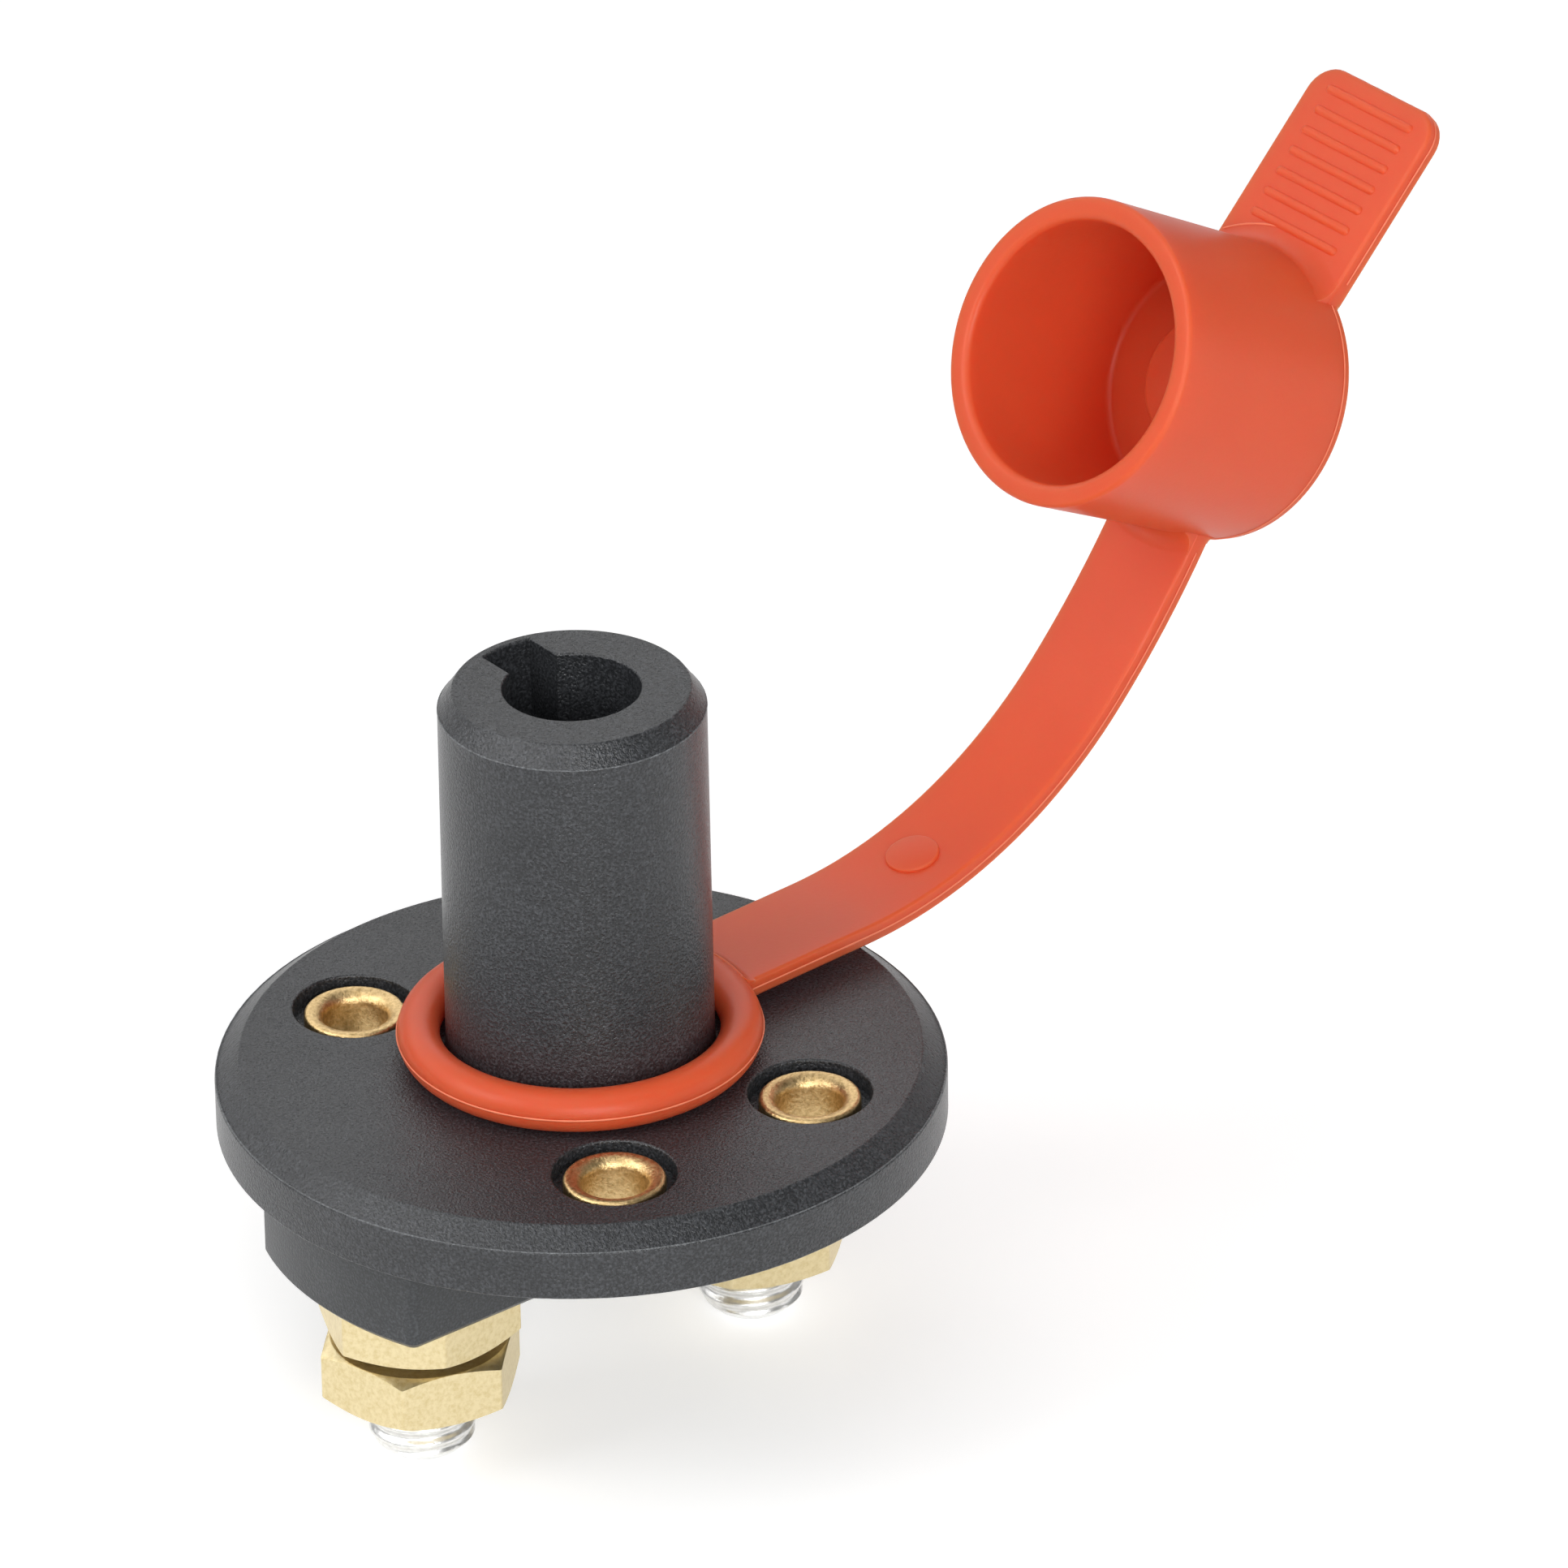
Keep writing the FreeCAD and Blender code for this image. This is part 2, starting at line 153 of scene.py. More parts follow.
def add(tree, kind, **values):
    return settle(tree.nodes.new(kind), **values)


def wire(tree, *links):
    """Links that each go from a socket, or a node and its output, to a node and its input."""
    for source, *output, target, label in links:
        tree.links.new(source.outputs[output[0]] if output else source, target.inputs[label])


def mapped(tree, source, start, end, low, high, **settings):
    """A socket's value, stretched so that start gives low and end gives high."""
    node = add(tree, "ShaderNodeMapRange", **settings, **{
        "From Min": start, "From Max": end, "To Min": low, "To Max": high})
    wire(tree, (source, node, "Value"))
    return node.outputs["Result"]


def object_point(tree):
    return add(tree, "ShaderNodeTexCoord").outputs["Object"]


# %% Floor
FLOOR_SIZE = 6.0
FLOOR_GAP = 0.0005
FLOOR_SHADE = 0.8
FLOOR_ROUGHNESS = 0.9
GLOW_RANGE = (0.4, 1.6)
GLOW = (0.45, 0.72)
floor_z = cad_box[0][2] - FLOOR_GAP
half = FLOOR_SIZE / 2
floor_mesh = bpy.data.meshes.new("floor")
floor_mesh.from_pydata([(-half, -half, floor_z), (half, -half, floor_z),
                        (half, half, floor_z), (-half, half, floor_z)], [], [(0, 1, 2, 3)])
floor = new_object("floor", floor_mesh)

material, tree, shader = new_material("studio_floor")
settle(shader, Roughness=FLOOR_ROUGHNESS, **{
    "Base Color": (FLOOR_SHADE, FLOOR_SHADE, FLOOR_SHADE, 1),
    "Specular IOR Level": 0.0, "Emission Color": (1, 1, 1, 1)})
path = add(tree, "ShaderNodeLightPath")
seen = add(tree, "ShaderNodeMath", operation="MAXIMUM")
far = add(tree, "ShaderNodeVectorMath", operation="LENGTH")
glow = add(tree, "ShaderNodeMath", operation="MULTIPLY")
wire(tree, (path, "Is Camera Ray", seen, 0), (path, "Is Glossy Ray", seen, 1),
     (object_point(tree), far, 0), (seen, 0, glow, 0),
     (mapped(tree, far.outputs["Value"], *GLOW_RANGE, *GLOW), glow, 1),
     (glow, 0, shader, "Emission Strength"))
floor_mesh.materials.append(material)

# %% [markdown]
# The world is white to the camera and gives every surface a low even light. Gloss sees it
# differently: as a band of light at the height of a studio's soft boxes, dark below and above,
# with a dim side to the right. That draws the light and dark edges of the grey moulding.

# %% World
AMBIENT = 0.4
SKY_BANDS = ((6, 0.05), (14, 0.2), (24, 1.0), (40, 0.85), (60, 0.2))
DARK_SIDE = (70, 45)
SCREEN_EDGE = (0.35, 0.9)
SCREEN_LIGHT = (2.0, 0.12)


def direction(azimuth, elevation):
    """Unit vector of a place in the studio. Azimuth 0 is behind the camera, 90 to its right."""
    a = math.radians(azimuth - 90) - PHOTO_TURN
    e = math.radians(elevation)
    return Vector((math.cos(a) * math.cos(e), math.sin(a) * math.cos(e), math.sin(e)))


world = bpy.data.worlds.new("studio")
bpy.context.scene.world = world
world.use_nodes = True
tree = world.node_tree
background = tree.nodes["Background"]
settle(background, Color=(1, 1, 1, 1))
look = add(tree, "ShaderNodeTexCoord").outputs["Generated"]
height = add(tree, "ShaderNodeSeparateXYZ")
sky = add(tree, "ShaderNodeValToRGB")
sky.color_ramp.interpolation = "EASE"
for elevation, strength in SKY_BANDS:
    stop = sky.color_ramp.elements.new(math.sin(math.radians(elevation)))
    stop.color = (strength, strength, strength, 1)
facing = add(tree, "ShaderNodeVectorMath", operation="DOT_PRODUCT")
facing.inputs[1].default_value = direction(*DARK_SIDE)
screen = mapped(tree, facing.outputs["Value"], *SCREEN_EDGE, *SCREEN_LIGHT,
                interpolation_type="SMOOTHSTEP")
mirrored = add(tree, "ShaderNodeMath", operation="MULTIPLY")
path = add(tree, "ShaderNodeLightPath")
in_gloss = add(tree, "ShaderNodeMix", data_type="FLOAT", A=AMBIENT)
in_all = add(tree, "ShaderNodeMix", data_type="FLOAT", B=1.0)
wire(tree, (look, height, 0), (height, "Z", sky, "Fac"), (look, facing, 0),
     (sky, "Color", mirrored, 0), (screen, mirrored, 1), (mirrored, 0, in_gloss, "B"),
     (path, "Is Glossy Ray", in_gloss, "Factor"), (in_gloss, "Result", in_all, "A"),
     (path, "Is Camera Ray", in_all, "Factor"), (in_all, "Result", background, "Strength"))

# %% Lamps
LAMP_AIM = Vector((0.02, 0, 0.02))


def soft_box(name, azimuth, elevation, distance, size, power):
    """A square lamp aimed at the switch."""
    away = direction(azimuth, elevation)
    data = bpy.data.lights.new(name, "AREA")
    data.shape = "SQUARE"
    data.size = size
    data.energy = power
    lamp = new_object(name, data)
    turn = away.to_track_quat("Z", "Y").to_matrix().to_4x4()
    lamp.matrix_world = Matrix.Translation(LAMP_AIM + away * distance) @ turn
    print(name, "at", [round(v, 2) for v in lamp.matrix_world.translation])


soft_box("key_light", -68, 36, 1.1, 0.55, 3.6)
soft_box("fill_light", 78, 8, 1.3, 0.7, 1.6)
soft_box("top_light", -30, 74, 1.1, 0.8, 2.0)
soft_box("front_light", 8, 22, 1.2, 0.5, 7.2)
bpy.context.scene.view_settings.view_transform = "Standard"

# %% [markdown]
# ## Finishes
# Each material is built from noise in the object's own coordinates, at the scale of the real
# grain. The grey grain goes into the bump, the roughness and some lighter flecks in the colour.
# The flecks are partly the grain's own tone and partly a painted highlight for its fine sparkle.

# %% Helpers for finishes
def noise_at(tree, point, **values):
    """The value of a noise pattern at a point."""
    node = add(tree, "ShaderNodeTexNoise", **values)
    wire(tree, (point, node, "Vector"))
    return node.outputs["Fac"]


def two_tone(tree, source, *stops):
    """A colour between two stops, each given as a position and a colour."""
    node = add(tree, "ShaderNodeValToRGB")
    for stop, (position, color) in zip(node.color_ramp.elements, stops):
        stop.position = position
        stop.color = (*color, 1)
    wire(tree, (source, node, "Fac"))
    return node.outputs["Color"]


def finish(tree, shader, tint, gloss, relief, strength, distance):
    """Feeds a shader its colour and roughness, and its bump from a noise pattern."""
    bump = add(tree, "ShaderNodeBump", Strength=strength, Distance=distance)
    wire(tree, (tint, shader, "Base Color"), (gloss, shader, "Roughness"),
         (relief, bump, "Height"), (bump, "Normal", shader, "Normal"))


# %% Grained grey moulding
MOTTLE_SCALE = 140.0
MOTTLE = 0.12
GLOSS_SPREAD = 0.1
GRAIN_SPARKLE_EDGE = (0.45, 0.75)
GRAIN_SPARKLE_GROUND = 0.85


def grained_plastic(name, color, grain=0.00027, depth=1.0, roughness=0.3, grain_sparkle=1.3,
                    slot=None):
    """A mottled plastic with a fine raised grain, and lighter flecks: its tone and painted
    sparkle.
    """
    material, tree, shader = new_material(name, slot)
    point = object_point(tree)
    mottle = noise_at(tree, point, Scale=MOTTLE_SCALE, Detail=3.0)
    tint = two_tone(tree, mottle, (0.3, [c * (1 - MOTTLE) for c in color]),
                    (0.7, [c * (1 + MOTTLE) for c in color]))
    grains = noise_at(tree, point, Scale=1 / grain, Detail=2.0, Roughness=0.6)
    # The flecks lighten the colour: partly the grain's tone, partly a painted sparkle of glints.
    grain_sparkled = add(tree, "ShaderNodeVectorMath", operation="SCALE")
    wire(tree, (tint, grain_sparkled, 0),
         (mapped(tree, grains, *GRAIN_SPARKLE_EDGE, GRAIN_SPARKLE_GROUND, 1 + grain_sparkle), grain_sparkled, "Scale"))
    gloss = mapped(tree, grains, 0, 1, roughness - GLOSS_SPREAD, roughness + GLOSS_SPREAD)
    finish(tree, shader, grain_sparkled.outputs["Vector"], gloss, grains, depth, grain / 2)
    return material


# The housing has the strongest flecks, a painted sparkle on its grain.
housing_plastic = grained_plastic("housing_plastic", (0.023, 0.0243, 0.0267), grain_sparkle=2.2)
# A lighter grey for the thin raised lines on the housing's bevel edges: a painted highlight.
flash_plastic = grained_plastic("flash_plastic", (0.1, 0.105, 0.11), slot="housing_plastic")
base_plastic = grained_plastic("base_plastic", (0.029, 0.0313, 0.0338), depth=0.6, roughness=0.4)
plunger_plastic = grained_plastic("plunger_plastic", (0.015, 0.015, 0.016), depth=0.2)
seal_rubber = grained_plastic("seal_rubber", (0.012, 0.012, 0.012), depth=0.1, roughness=0.5)

# %% Soft orange-red cap
CLOUD_SCALE = 90.0
SKIN_SCALE = 2600.0
SKIN_RELIEF = (0.12, 0.0001)
CAP_ROUGHNESS = (0.34, 0.44)
CAP_SHEEN = 0.25
GLOW_REACH = 0.006
GLOW_COLOR = (1.0, 0.5, 0.35)


def soft_plastic(name, color, scatter=0.85, slot=None):
    """A satin plastic that takes light in, and clouds a little in tint and gloss."""
    material, tree, shader = new_material(name, slot)
    point = object_point(tree)
    clouds = noise_at(tree, point, Scale=CLOUD_SCALE, Detail=4.0)
    tint = two_tone(tree, clouds,
                    (0.35, [c * k for c, k in zip(color, (0.99, 0.97, 0.97))]),
                    (0.65, [c * k for c, k in zip(color, (1.01, 1.03, 1.03))]))
    gloss = mapped(tree, clouds, 0, 1, *CAP_ROUGHNESS)
    skin = noise_at(tree, point, Scale=SKIN_SCALE, Detail=2.0)
    finish(tree, shader, tint, gloss, skin, *SKIN_RELIEF)
    settle(shader, **{"Specular IOR Level": CAP_SHEEN, "Subsurface Weight": scatter,
                      "Subsurface Radius": GLOW_COLOR, "Subsurface Scale": GLOW_REACH})
    return material


cap_plastic = soft_plastic("cap_plastic", (0.7, 0.102, 0.036))
# Lighter than the cap and without scatter: a painted highlight along the mould lines.
mould_line_plastic = soft_plastic("mould_line_plastic", (0.86, 0.24, 0.13), 0.0, "cap_plastic")


# %% Metals
def metal(name, color, shade, grain, depth, roughness, spread):
    """A metal whose tint and gloss vary in fine grains between two colours."""
    material, tree, shader = new_material(name)
    settle(shader, Metallic=1.0)
    grains = noise_at(tree, object_point(tree), Scale=1 / grain, Detail=3.0, Roughness=0.65)
    tint = two_tone(tree, grains, (0.3, shade), (0.6, color))
    gloss = mapped(tree, grains, 0, 1, roughness, roughness + spread)
    finish(tree, shader, tint, gloss, grains, depth, grain / 4)
    return material


nut_brass = metal("nut_brass", (0.82, 0.7, 0.43), (0.7, 0.57, 0.3), 0.0005, 0.3, 0.3, 0.2)
eyelet_brass = metal("eyelet_brass", (0.74, 0.54, 0.27), (0.46, 0.31, 0.13),
                     0.0004, 0.8, 0.3, 0.2)
stud_metal = metal("stud_metal", (0.9, 0.9, 0.89), (0.76, 0.76, 0.74), 0.0008, 0.2, 0.25, 0.15)
spring_steel = metal("spring_steel", (0.6, 0.6, 0.61), (0.45, 0.45, 0.46),
                     0.0003, 0.2, 0.25, 0.1)
bridge_copper = metal("bridge_copper", (0.8, 0.42, 0.28), (0.62, 0.28, 0.18),
                      0.0004, 0.2, 0.3, 0.1)

# %% [markdown]
# ## Tools for shaping pieces
# Almost every piece is either turned, like the barrel, or a stack of outlines, like the pull
# tab. Both are written as a short list of corners in millimetres, where a third number asks for
# a rounded corner, as no moulded edge is truly sharp. Holes are cut with exact booleans, whose
# cutters flare out at the surface to round the rim.

# %% Rounded outlines
ARC_STEPS = 4


def softened(corners):
    """Outline points, with each corner that names a radius turned into a short arc."""
    points = []
    for k, corner in enumerate(corners):
        here = Vector(corner[:2])
        if len(corner) == 2:
            points.append(here)
            continue
        before = (Vector(corners[k - 1][:2]) - here).normalized()
        after = (Vector(corners[(k + 1) % len(corners)][:2]) - here).normalized()
        points += arc_between(here, before, after, corner[2])
    return points


def arc_between(corner, before, after, radius, steps=ARC_STEPS):
    """Points of the arc that is tangent to two directions leaving a corner."""
    half = before.angle(after) / 2
    reach = radius / math.tan(half)
    middle = corner + (before + after).normalized() * radius / math.sin(half)
    start = corner + before * reach - middle
    end = corner + after * reach - middle
    sweep = start.angle(end)
    points = []
    for step in range(steps + 1):
        part = step / steps
        points.append(middle + (math.sin((1 - part) * sweep) * start
                                + math.sin(part * sweep) * end) / math.sin(sweep))
    return points


# %% Turned and stacked solids
TURN_STEPS = 128
FINE_STEPS = 192
MERGE_GAP = 0.0005
ON_AXIS = 1e-6


def polar(radius, angle, z=0.0):
    """A point at a distance from the upright axis, in a direction in radians."""
    return radius * math.cos(angle), radius * math.sin(angle), z


def arc(x, y, radius, angles):
    """Points on a circle about (x, y)."""
    return [(x + radius * math.cos(a), y + radius * math.sin(a)) for a in angles]


def new_piece(name, points, faces, frame_of=None):
    """An object from points in millimetres, with doubles merged and its faces turned out."""
    if frame_of:
        points = [frame_of @ p for p in points]
    mesh = bpy.data.meshes.new(name)
    mesh.from_pydata([tuple(c * MM for c in p) for p in points], [], faces)
    shape = bmesh.new()
    shape.from_mesh(mesh)
    bmesh.ops.remove_doubles(shape, verts=shape.verts, dist=MERGE_GAP * MM)
    bmesh.ops.recalc_face_normals(shape, faces=shape.faces)
    shape.to_mesh(mesh)
    shape.free()
    return new_object(name, mesh)


def turned(name, corners, places=((0, 0),), steps=TURN_STEPS, frame_of=None):
    """Closed solids of revolution about upright axes, from (radius, height) corners."""
    outline = softened(corners)
    angles = [2 * math.pi * k / steps for k in range(steps)]
    points, faces = [], []
    for x, y in places:
        first = len(points)
        for r, z in outline:
            points += [Vector((*p, z)) for p in arc(x, y, r, angles)]
        for row in range(len(outline)):
            upper = (row + 1) % len(outline)
            if max(outline[row][0], outline[upper][0]) < ON_AXIS:
                continue
            for k in range(steps):
                j = (k + 1) % steps
                corner = [first + row * steps + k, first + row * steps + j,
                          first + upper * steps + j, first + upper * steps + k]
                if outline[upper][0] < ON_AXIS:
                    corner.pop()
                elif outline[row][0] < ON_AXIS:
                    corner.pop(1)
                faces.append(corner)
    return new_piece(name, points, faces, frame_of)


def stacked(name, rings, frame_of=None):
    """A closed solid through rings of equal point counts, with both ends capped."""
    count = len(rings[0])
    points = [Vector(p) for ring in rings for p in ring]
    faces = [tuple(range(count)), tuple(range(len(points) - count, len(points)))]
    for row in range(len(rings) - 1):
        for k in range(count):
            j = (k + 1) % count
            low, high = row * count, (row + 1) * count
            faces.append((low + k, low + j, high + j, high + k))
    return new_piece(name, points, faces, frame_of)


# %% Booleans, shading and handing over
def bake(piece):
    """Keeps what the piece's modifiers make as its plain mesh."""
    seen = piece.evaluated_get(bpy.context.evaluated_depsgraph_get())
    mesh = bpy.data.meshes.new_from_object(seen)
    piece.modifiers.clear()
    piece.data = mesh


def combine(piece, others, operation):
    """Adds other solids to a piece, or cuts them out of it, and deletes them."""
    for other in others:
        step = piece.modifiers.new(other.name, "BOOLEAN")
        step.operation = operation
        step.solver = "EXACT"
        step.object = other
    bake(piece)
    for other in others:
        bpy.data.objects.remove(other)


def finish_piece(piece, material, body, nodes, sharp=32):
    """Shades a piece, gives it its finish and puts it in the place of its frame nodes."""
    mesh = piece.data
    mesh.materials.clear()
    mesh.materials.append(material)
    mesh.polygons.foreach_set("material_index", [0] * len(mesh.polygons))
    mesh.shade_smooth()
    mesh.set_sharp_from_angle(angle=math.radians(sharp))
    even = piece.modifiers.new("even_shading", "WEIGHTED_NORMAL")
    even.keep_sharp = True
    bake(piece)
    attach(piece, body)
    if nodes:
        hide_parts(*nodes)
    zs = [v.co.z / MM for v in piece.data.vertices]
    print(piece.name, len(piece.data.polygons), "faces, z", round(min(zs), 2), "to",
          round(max(zs), 2))


# %% [markdown]
# ## Key housing
# One grey moulding: a round flange with a bevelled rim and a tall, slightly tapered barrel. It
# is turned, and the key's opening, the recess for the base and the four counterbores are cut out
# of it. The opening's cutter is a stack of one outline, bore and slot together, let out a little
# at the top to round the rim.

# %% Key housing
FLANGE_R = 34.0
FLANGE_H = 6.5
RIM_BEVEL = (31.7, 4.7)
BARREL_FOOT_R = 12.5
BARREL_TIP_R = 12.35
BARREL_TOP = 44.7
TIP_BEVEL = (10.95, 42.7)
BASE_R = 30.9
BASE_GAP = 0.1
SEAM_R = BASE_R + 0.25
SEAM_H = 0.15
PLATE_H = 3.5
CHAMBER_R = 10.4
CHAMBER_TOP = 24.0
KEY_BORE_R = 6.35
SLOT_W = 5.4
SLOT_REACH = 10.15
RIM_ROUND = 0.25
EYELET_SPACING = (22.8, 39.49)
EYELET_HOLE_R = 3.6
SINK_R = 5.75
SINK_FLOOR = 4.8
HOLE_START = 3.0
OVERCUT = 1.0
BORE_STEPS = 64
SLOT_STEPS = 8
eyelet_places = [(sx * EYELET_SPACING[0] / 2, sy * EYELET_SPACING[1] / 2)
                 for sy in (-1, 1) for sx in (-1, 1)]


def key_outline(grow, z):
    """Bore and slot in one outline, grown outwards by the same amount all round."""
    half = SLOT_W / 2 + grow
    bore = KEY_BORE_R + grow
    reach = SLOT_REACH + grow
    gap = math.asin(half / bore)
    tip = math.asin(half / reach)
    points = [polar(bore, math.pi / 2 + gap + (2 * math.pi - 2 * gap) * k / BORE_STEPS, z)
              for k in range(BORE_STEPS + 1)]
    return points + [polar(reach, math.pi / 2 - tip + 2 * tip * k / SLOT_STEPS, z)
                     for k in range(SLOT_STEPS + 1)]


housing = turned("key_housing", [
    (0, 0), (FLANGE_R, 0, 0.12), (FLANGE_R, RIM_BEVEL[1], 0.25), (RIM_BEVEL[0], FLANGE_H, 0.35),
    (BARREL_FOOT_R, FLANGE_H, 0.25), (BARREL_TIP_R, TIP_BEVEL[1], 0.35),
    (TIP_BEVEL[0], BARREL_TOP, 0.3), (0, BARREL_TOP)], steps=FINE_STEPS)
recess = turned("recess", [
    (0, -OVERCUT), (SEAM_R, -OVERCUT), (SEAM_R, 0), (BASE_R + BASE_GAP, SEAM_H),
    (BASE_R + BASE_GAP, PLATE_H), (CHAMBER_R, PLATE_H), (CHAMBER_R, CHAMBER_TOP),
    (0, CHAMBER_TOP)], steps=FINE_STEPS)
rings = [key_outline(0, CHAMBER_TOP - OVERCUT)]
for k in range(ARC_STEPS + 1):
    a = math.pi / 2 * k / ARC_STEPS
    rings.append(key_outline(RIM_ROUND * (1 - math.cos(a)),
                             BARREL_TOP - RIM_ROUND + RIM_ROUND * math.sin(a)))
rings.append(key_outline(RIM_ROUND, BARREL_TOP + OVERCUT))
opening = stacked("opening", rings)
sinks = turned("sinks", [
    (0, HOLE_START), (EYELET_HOLE_R, HOLE_START), (EYELET_HOLE_R, SINK_FLOOR),
    (SINK_R, SINK_FLOOR), (SINK_R, FLANGE_H, RIM_ROUND), (SINK_R + RIM_ROUND, FLANGE_H),
    (SINK_R + RIM_ROUND, FLANGE_H + OVERCUT), (0, FLANGE_H + OVERCUT)],
    eyelet_places, steps=96)
combine(housing, [recess, opening, sinks], "DIFFERENCE")
finish_piece(housing, housing_plastic, "root", ["upper_housing"])

# %% [markdown]
# ## Terminal block
# A second moulding closes the housing from below: a round plate with a deep block across it,
# whose ends follow the plate's edge. Its outlines are two arcs and two straight sides, and they
# shrink towards the bottom to give the bevelled lower edge.

# %% Terminal block
BLOCK_H = 10.0
BLOCK_W = 23.2
BLOCK_EDGE_R = 1.2
BLOCK_BEVEL = 0.8
POCKET = (53.6, 17.0, 2.0)
POCKET_FLOOR_Z = -7.5
STUD_X = 19.5
STUD_HOLE_R = 5.2
HOLE_BEVEL = 0.3
FOOT_SINK_R = 4.9
FOOT_SINK_H = 1.3
CUT_BOTTOM = -BLOCK_H - OVERCUT
CUT_TOP = 5.0


def block_outline(inset, z):
    """Two arcs and two straight sides, drawn in from the block's own outline."""
    arc_r = BASE_R - inset
    half = BLOCK_W / 2 - inset
    corner = BLOCK_EDGE_R - inset / 2
    centre = math.sqrt((arc_r - corner) ** 2 - (half - corner) ** 2)
    lean = math.atan2(half - corner, centre)
    quarter = arc(0, 0, arc_r, [lean * k / 12 for k in range(13)])
    quarter += arc(centre, half - corner, corner,
                   [lean + (math.pi / 2 - lean) * k / 6 for k in range(1, 7)])
    right_side = [(x, -y) for x, y in reversed(quarter[1:])] + quarter
    return [(x, y, z) for x, y in right_side + [(-x, -y) for x, y in right_side]]


def slab_outline(length, width, corner, z, inset=0.0, steps=6):
    """A rectangle with rounded corners, drawn in by the same amount all round."""
    points = []
    r = max(corner - inset, 0.05)
    for sx, sy, first in ((1, 1, 0), (-1, 1, 90), (-1, -1, 180), (1, -1, 270)):
        points += arc(sx * (length / 2 - inset - r), sy * (width / 2 - inset - r), r,
                      [math.radians(first + 90 * k / steps) for k in range(steps + 1)])
    return [(x, y, z) for x, y in points]


edge = softened([(0, 1), (0, BLOCK_BEVEL - BLOCK_H, 0.3), (BLOCK_BEVEL, -BLOCK_H, 0.3),
                 (2, -BLOCK_H)])
base = stacked("terminal_block", [block_outline(inset, z) for inset, z in edge[:-1]])
plate = turned("plate", [(0, 0), (BASE_R, 0, 0.15), (BASE_R, PLATE_H), (0, PLATE_H)],
               steps=FINE_STEPS)
combine(base, [plate], "UNION")
pocket = stacked("pocket", [slab_outline(*POCKET, z) for z in (POCKET_FLOOR_Z, CUT_TOP)])
stud_holes = turned("stud_holes", [
    (0, CUT_BOTTOM), (STUD_HOLE_R + HOLE_BEVEL, CUT_BOTTOM), (STUD_HOLE_R + HOLE_BEVEL, -BLOCK_H),
    (STUD_HOLE_R, HOLE_BEVEL - BLOCK_H), (STUD_HOLE_R, POCKET_FLOOR_Z + 0.5),
    (0, POCKET_FLOOR_Z + 0.5)], [(-STUD_X, 0), (STUD_X, 0)], steps=64)
foot_sinks = turned("foot_sinks", [
    (0, CUT_BOTTOM), (FOOT_SINK_R, CUT_BOTTOM), (FOOT_SINK_R, FOOT_SINK_H),
    (EYELET_HOLE_R, FOOT_SINK_H), (EYELET_HOLE_R, CUT_TOP), (0, CUT_TOP)],
    eyelet_places, steps=64)
combine(base, [pocket, stud_holes, foot_sinks], "DIFFERENCE")
finish_piece(base, base_plastic, "root", ["contact_base"])

# %% [markdown]
# ## Rivets, by Geometry Nodes
# Four hollow brass rivets hold the two mouldings together. Their heads are funnels: a thin
# bright crest, then a hollow curve down into the bore. The shape is turned once, and a small
# geometry tree sets it on a grid of two by two. The tree realizes its copies, because a copy
# that isn't real geometry is lost at the export.

# %% Tools for geometry trees
def geometry_tree(name, **inputs):
    """A tree with a geometry input, inputs listed by kind, a material and a geometry output."""
    tree = bpy.data.node_groups.new(name, "GeometryNodeTree")
    tree.interface.new_socket("Geometry", in_out="INPUT", socket_type="NodeSocketGeometry")
    for kind, labels in {**inputs, "Material": ["Material"]}.items():
        for label in labels:
            tree.interface.new_socket(label, in_out="INPUT", socket_type="NodeSocket" + kind)
    tree.interface.new_socket("Geometry", in_out="OUTPUT", socket_type="NodeSocketGeometry")
    return tree, add(tree, "NodeGroupInput").outputs, add(tree, "NodeGroupOutput")


def end_tree(tree, given, geometry, out):
    """Realizes the copies and sets the material, as every tree here ends."""
    real = add(tree, "GeometryNodeRealizeInstances")
    painted = add(tree, "GeometryNodeSetMaterial")
    wire(tree, (geometry, real, 0), (real, 0, painted, "Geometry"),
         (given["Material"], painted, "Material"), (painted, 0, out, 0))


def grow(name, tree, values, points=(), edges=()):
    """Runs a tree on a small mesh of points and edges, and keeps what it makes."""
    mesh = bpy.data.meshes.new(name)
    mesh.from_pydata([tuple(c * MM for c in p) for p in points], edges, [])
    piece = new_object(name, mesh)
    step = piece.modifiers.new(name, "NODES")
    step.node_group = tree
    for item in tree.interface.items_tree:
        if item.in_out == "INPUT" and item.name in values:
            step[item.identifier] = values[item.name]
    bake(piece)
    print(name, "grew", len(piece.data.polygons), "faces")
    return piece


# %% Rivet pattern tree
tree, given, out = geometry_tree(
    "rivet_pattern", Object=["Rivet"], Float=["Across", "Along"])
grid = add(tree, "GeometryNodeMeshGrid", **{"Vertices X": 2, "Vertices Y": 2})
shape = add(tree, "GeometryNodeObjectInfo")
placed = add(tree, "GeometryNodeInstanceOnPoints")
wire(tree, (given["Across"], grid, "Size X"), (given["Along"], grid, "Size Y"),
     (given["Rivet"], shape, "Object"), (grid, "Mesh", placed, "Points"),
     (shape, "Geometry", placed, "Instance"))
end_tree(tree, given, placed.outputs[0], out)

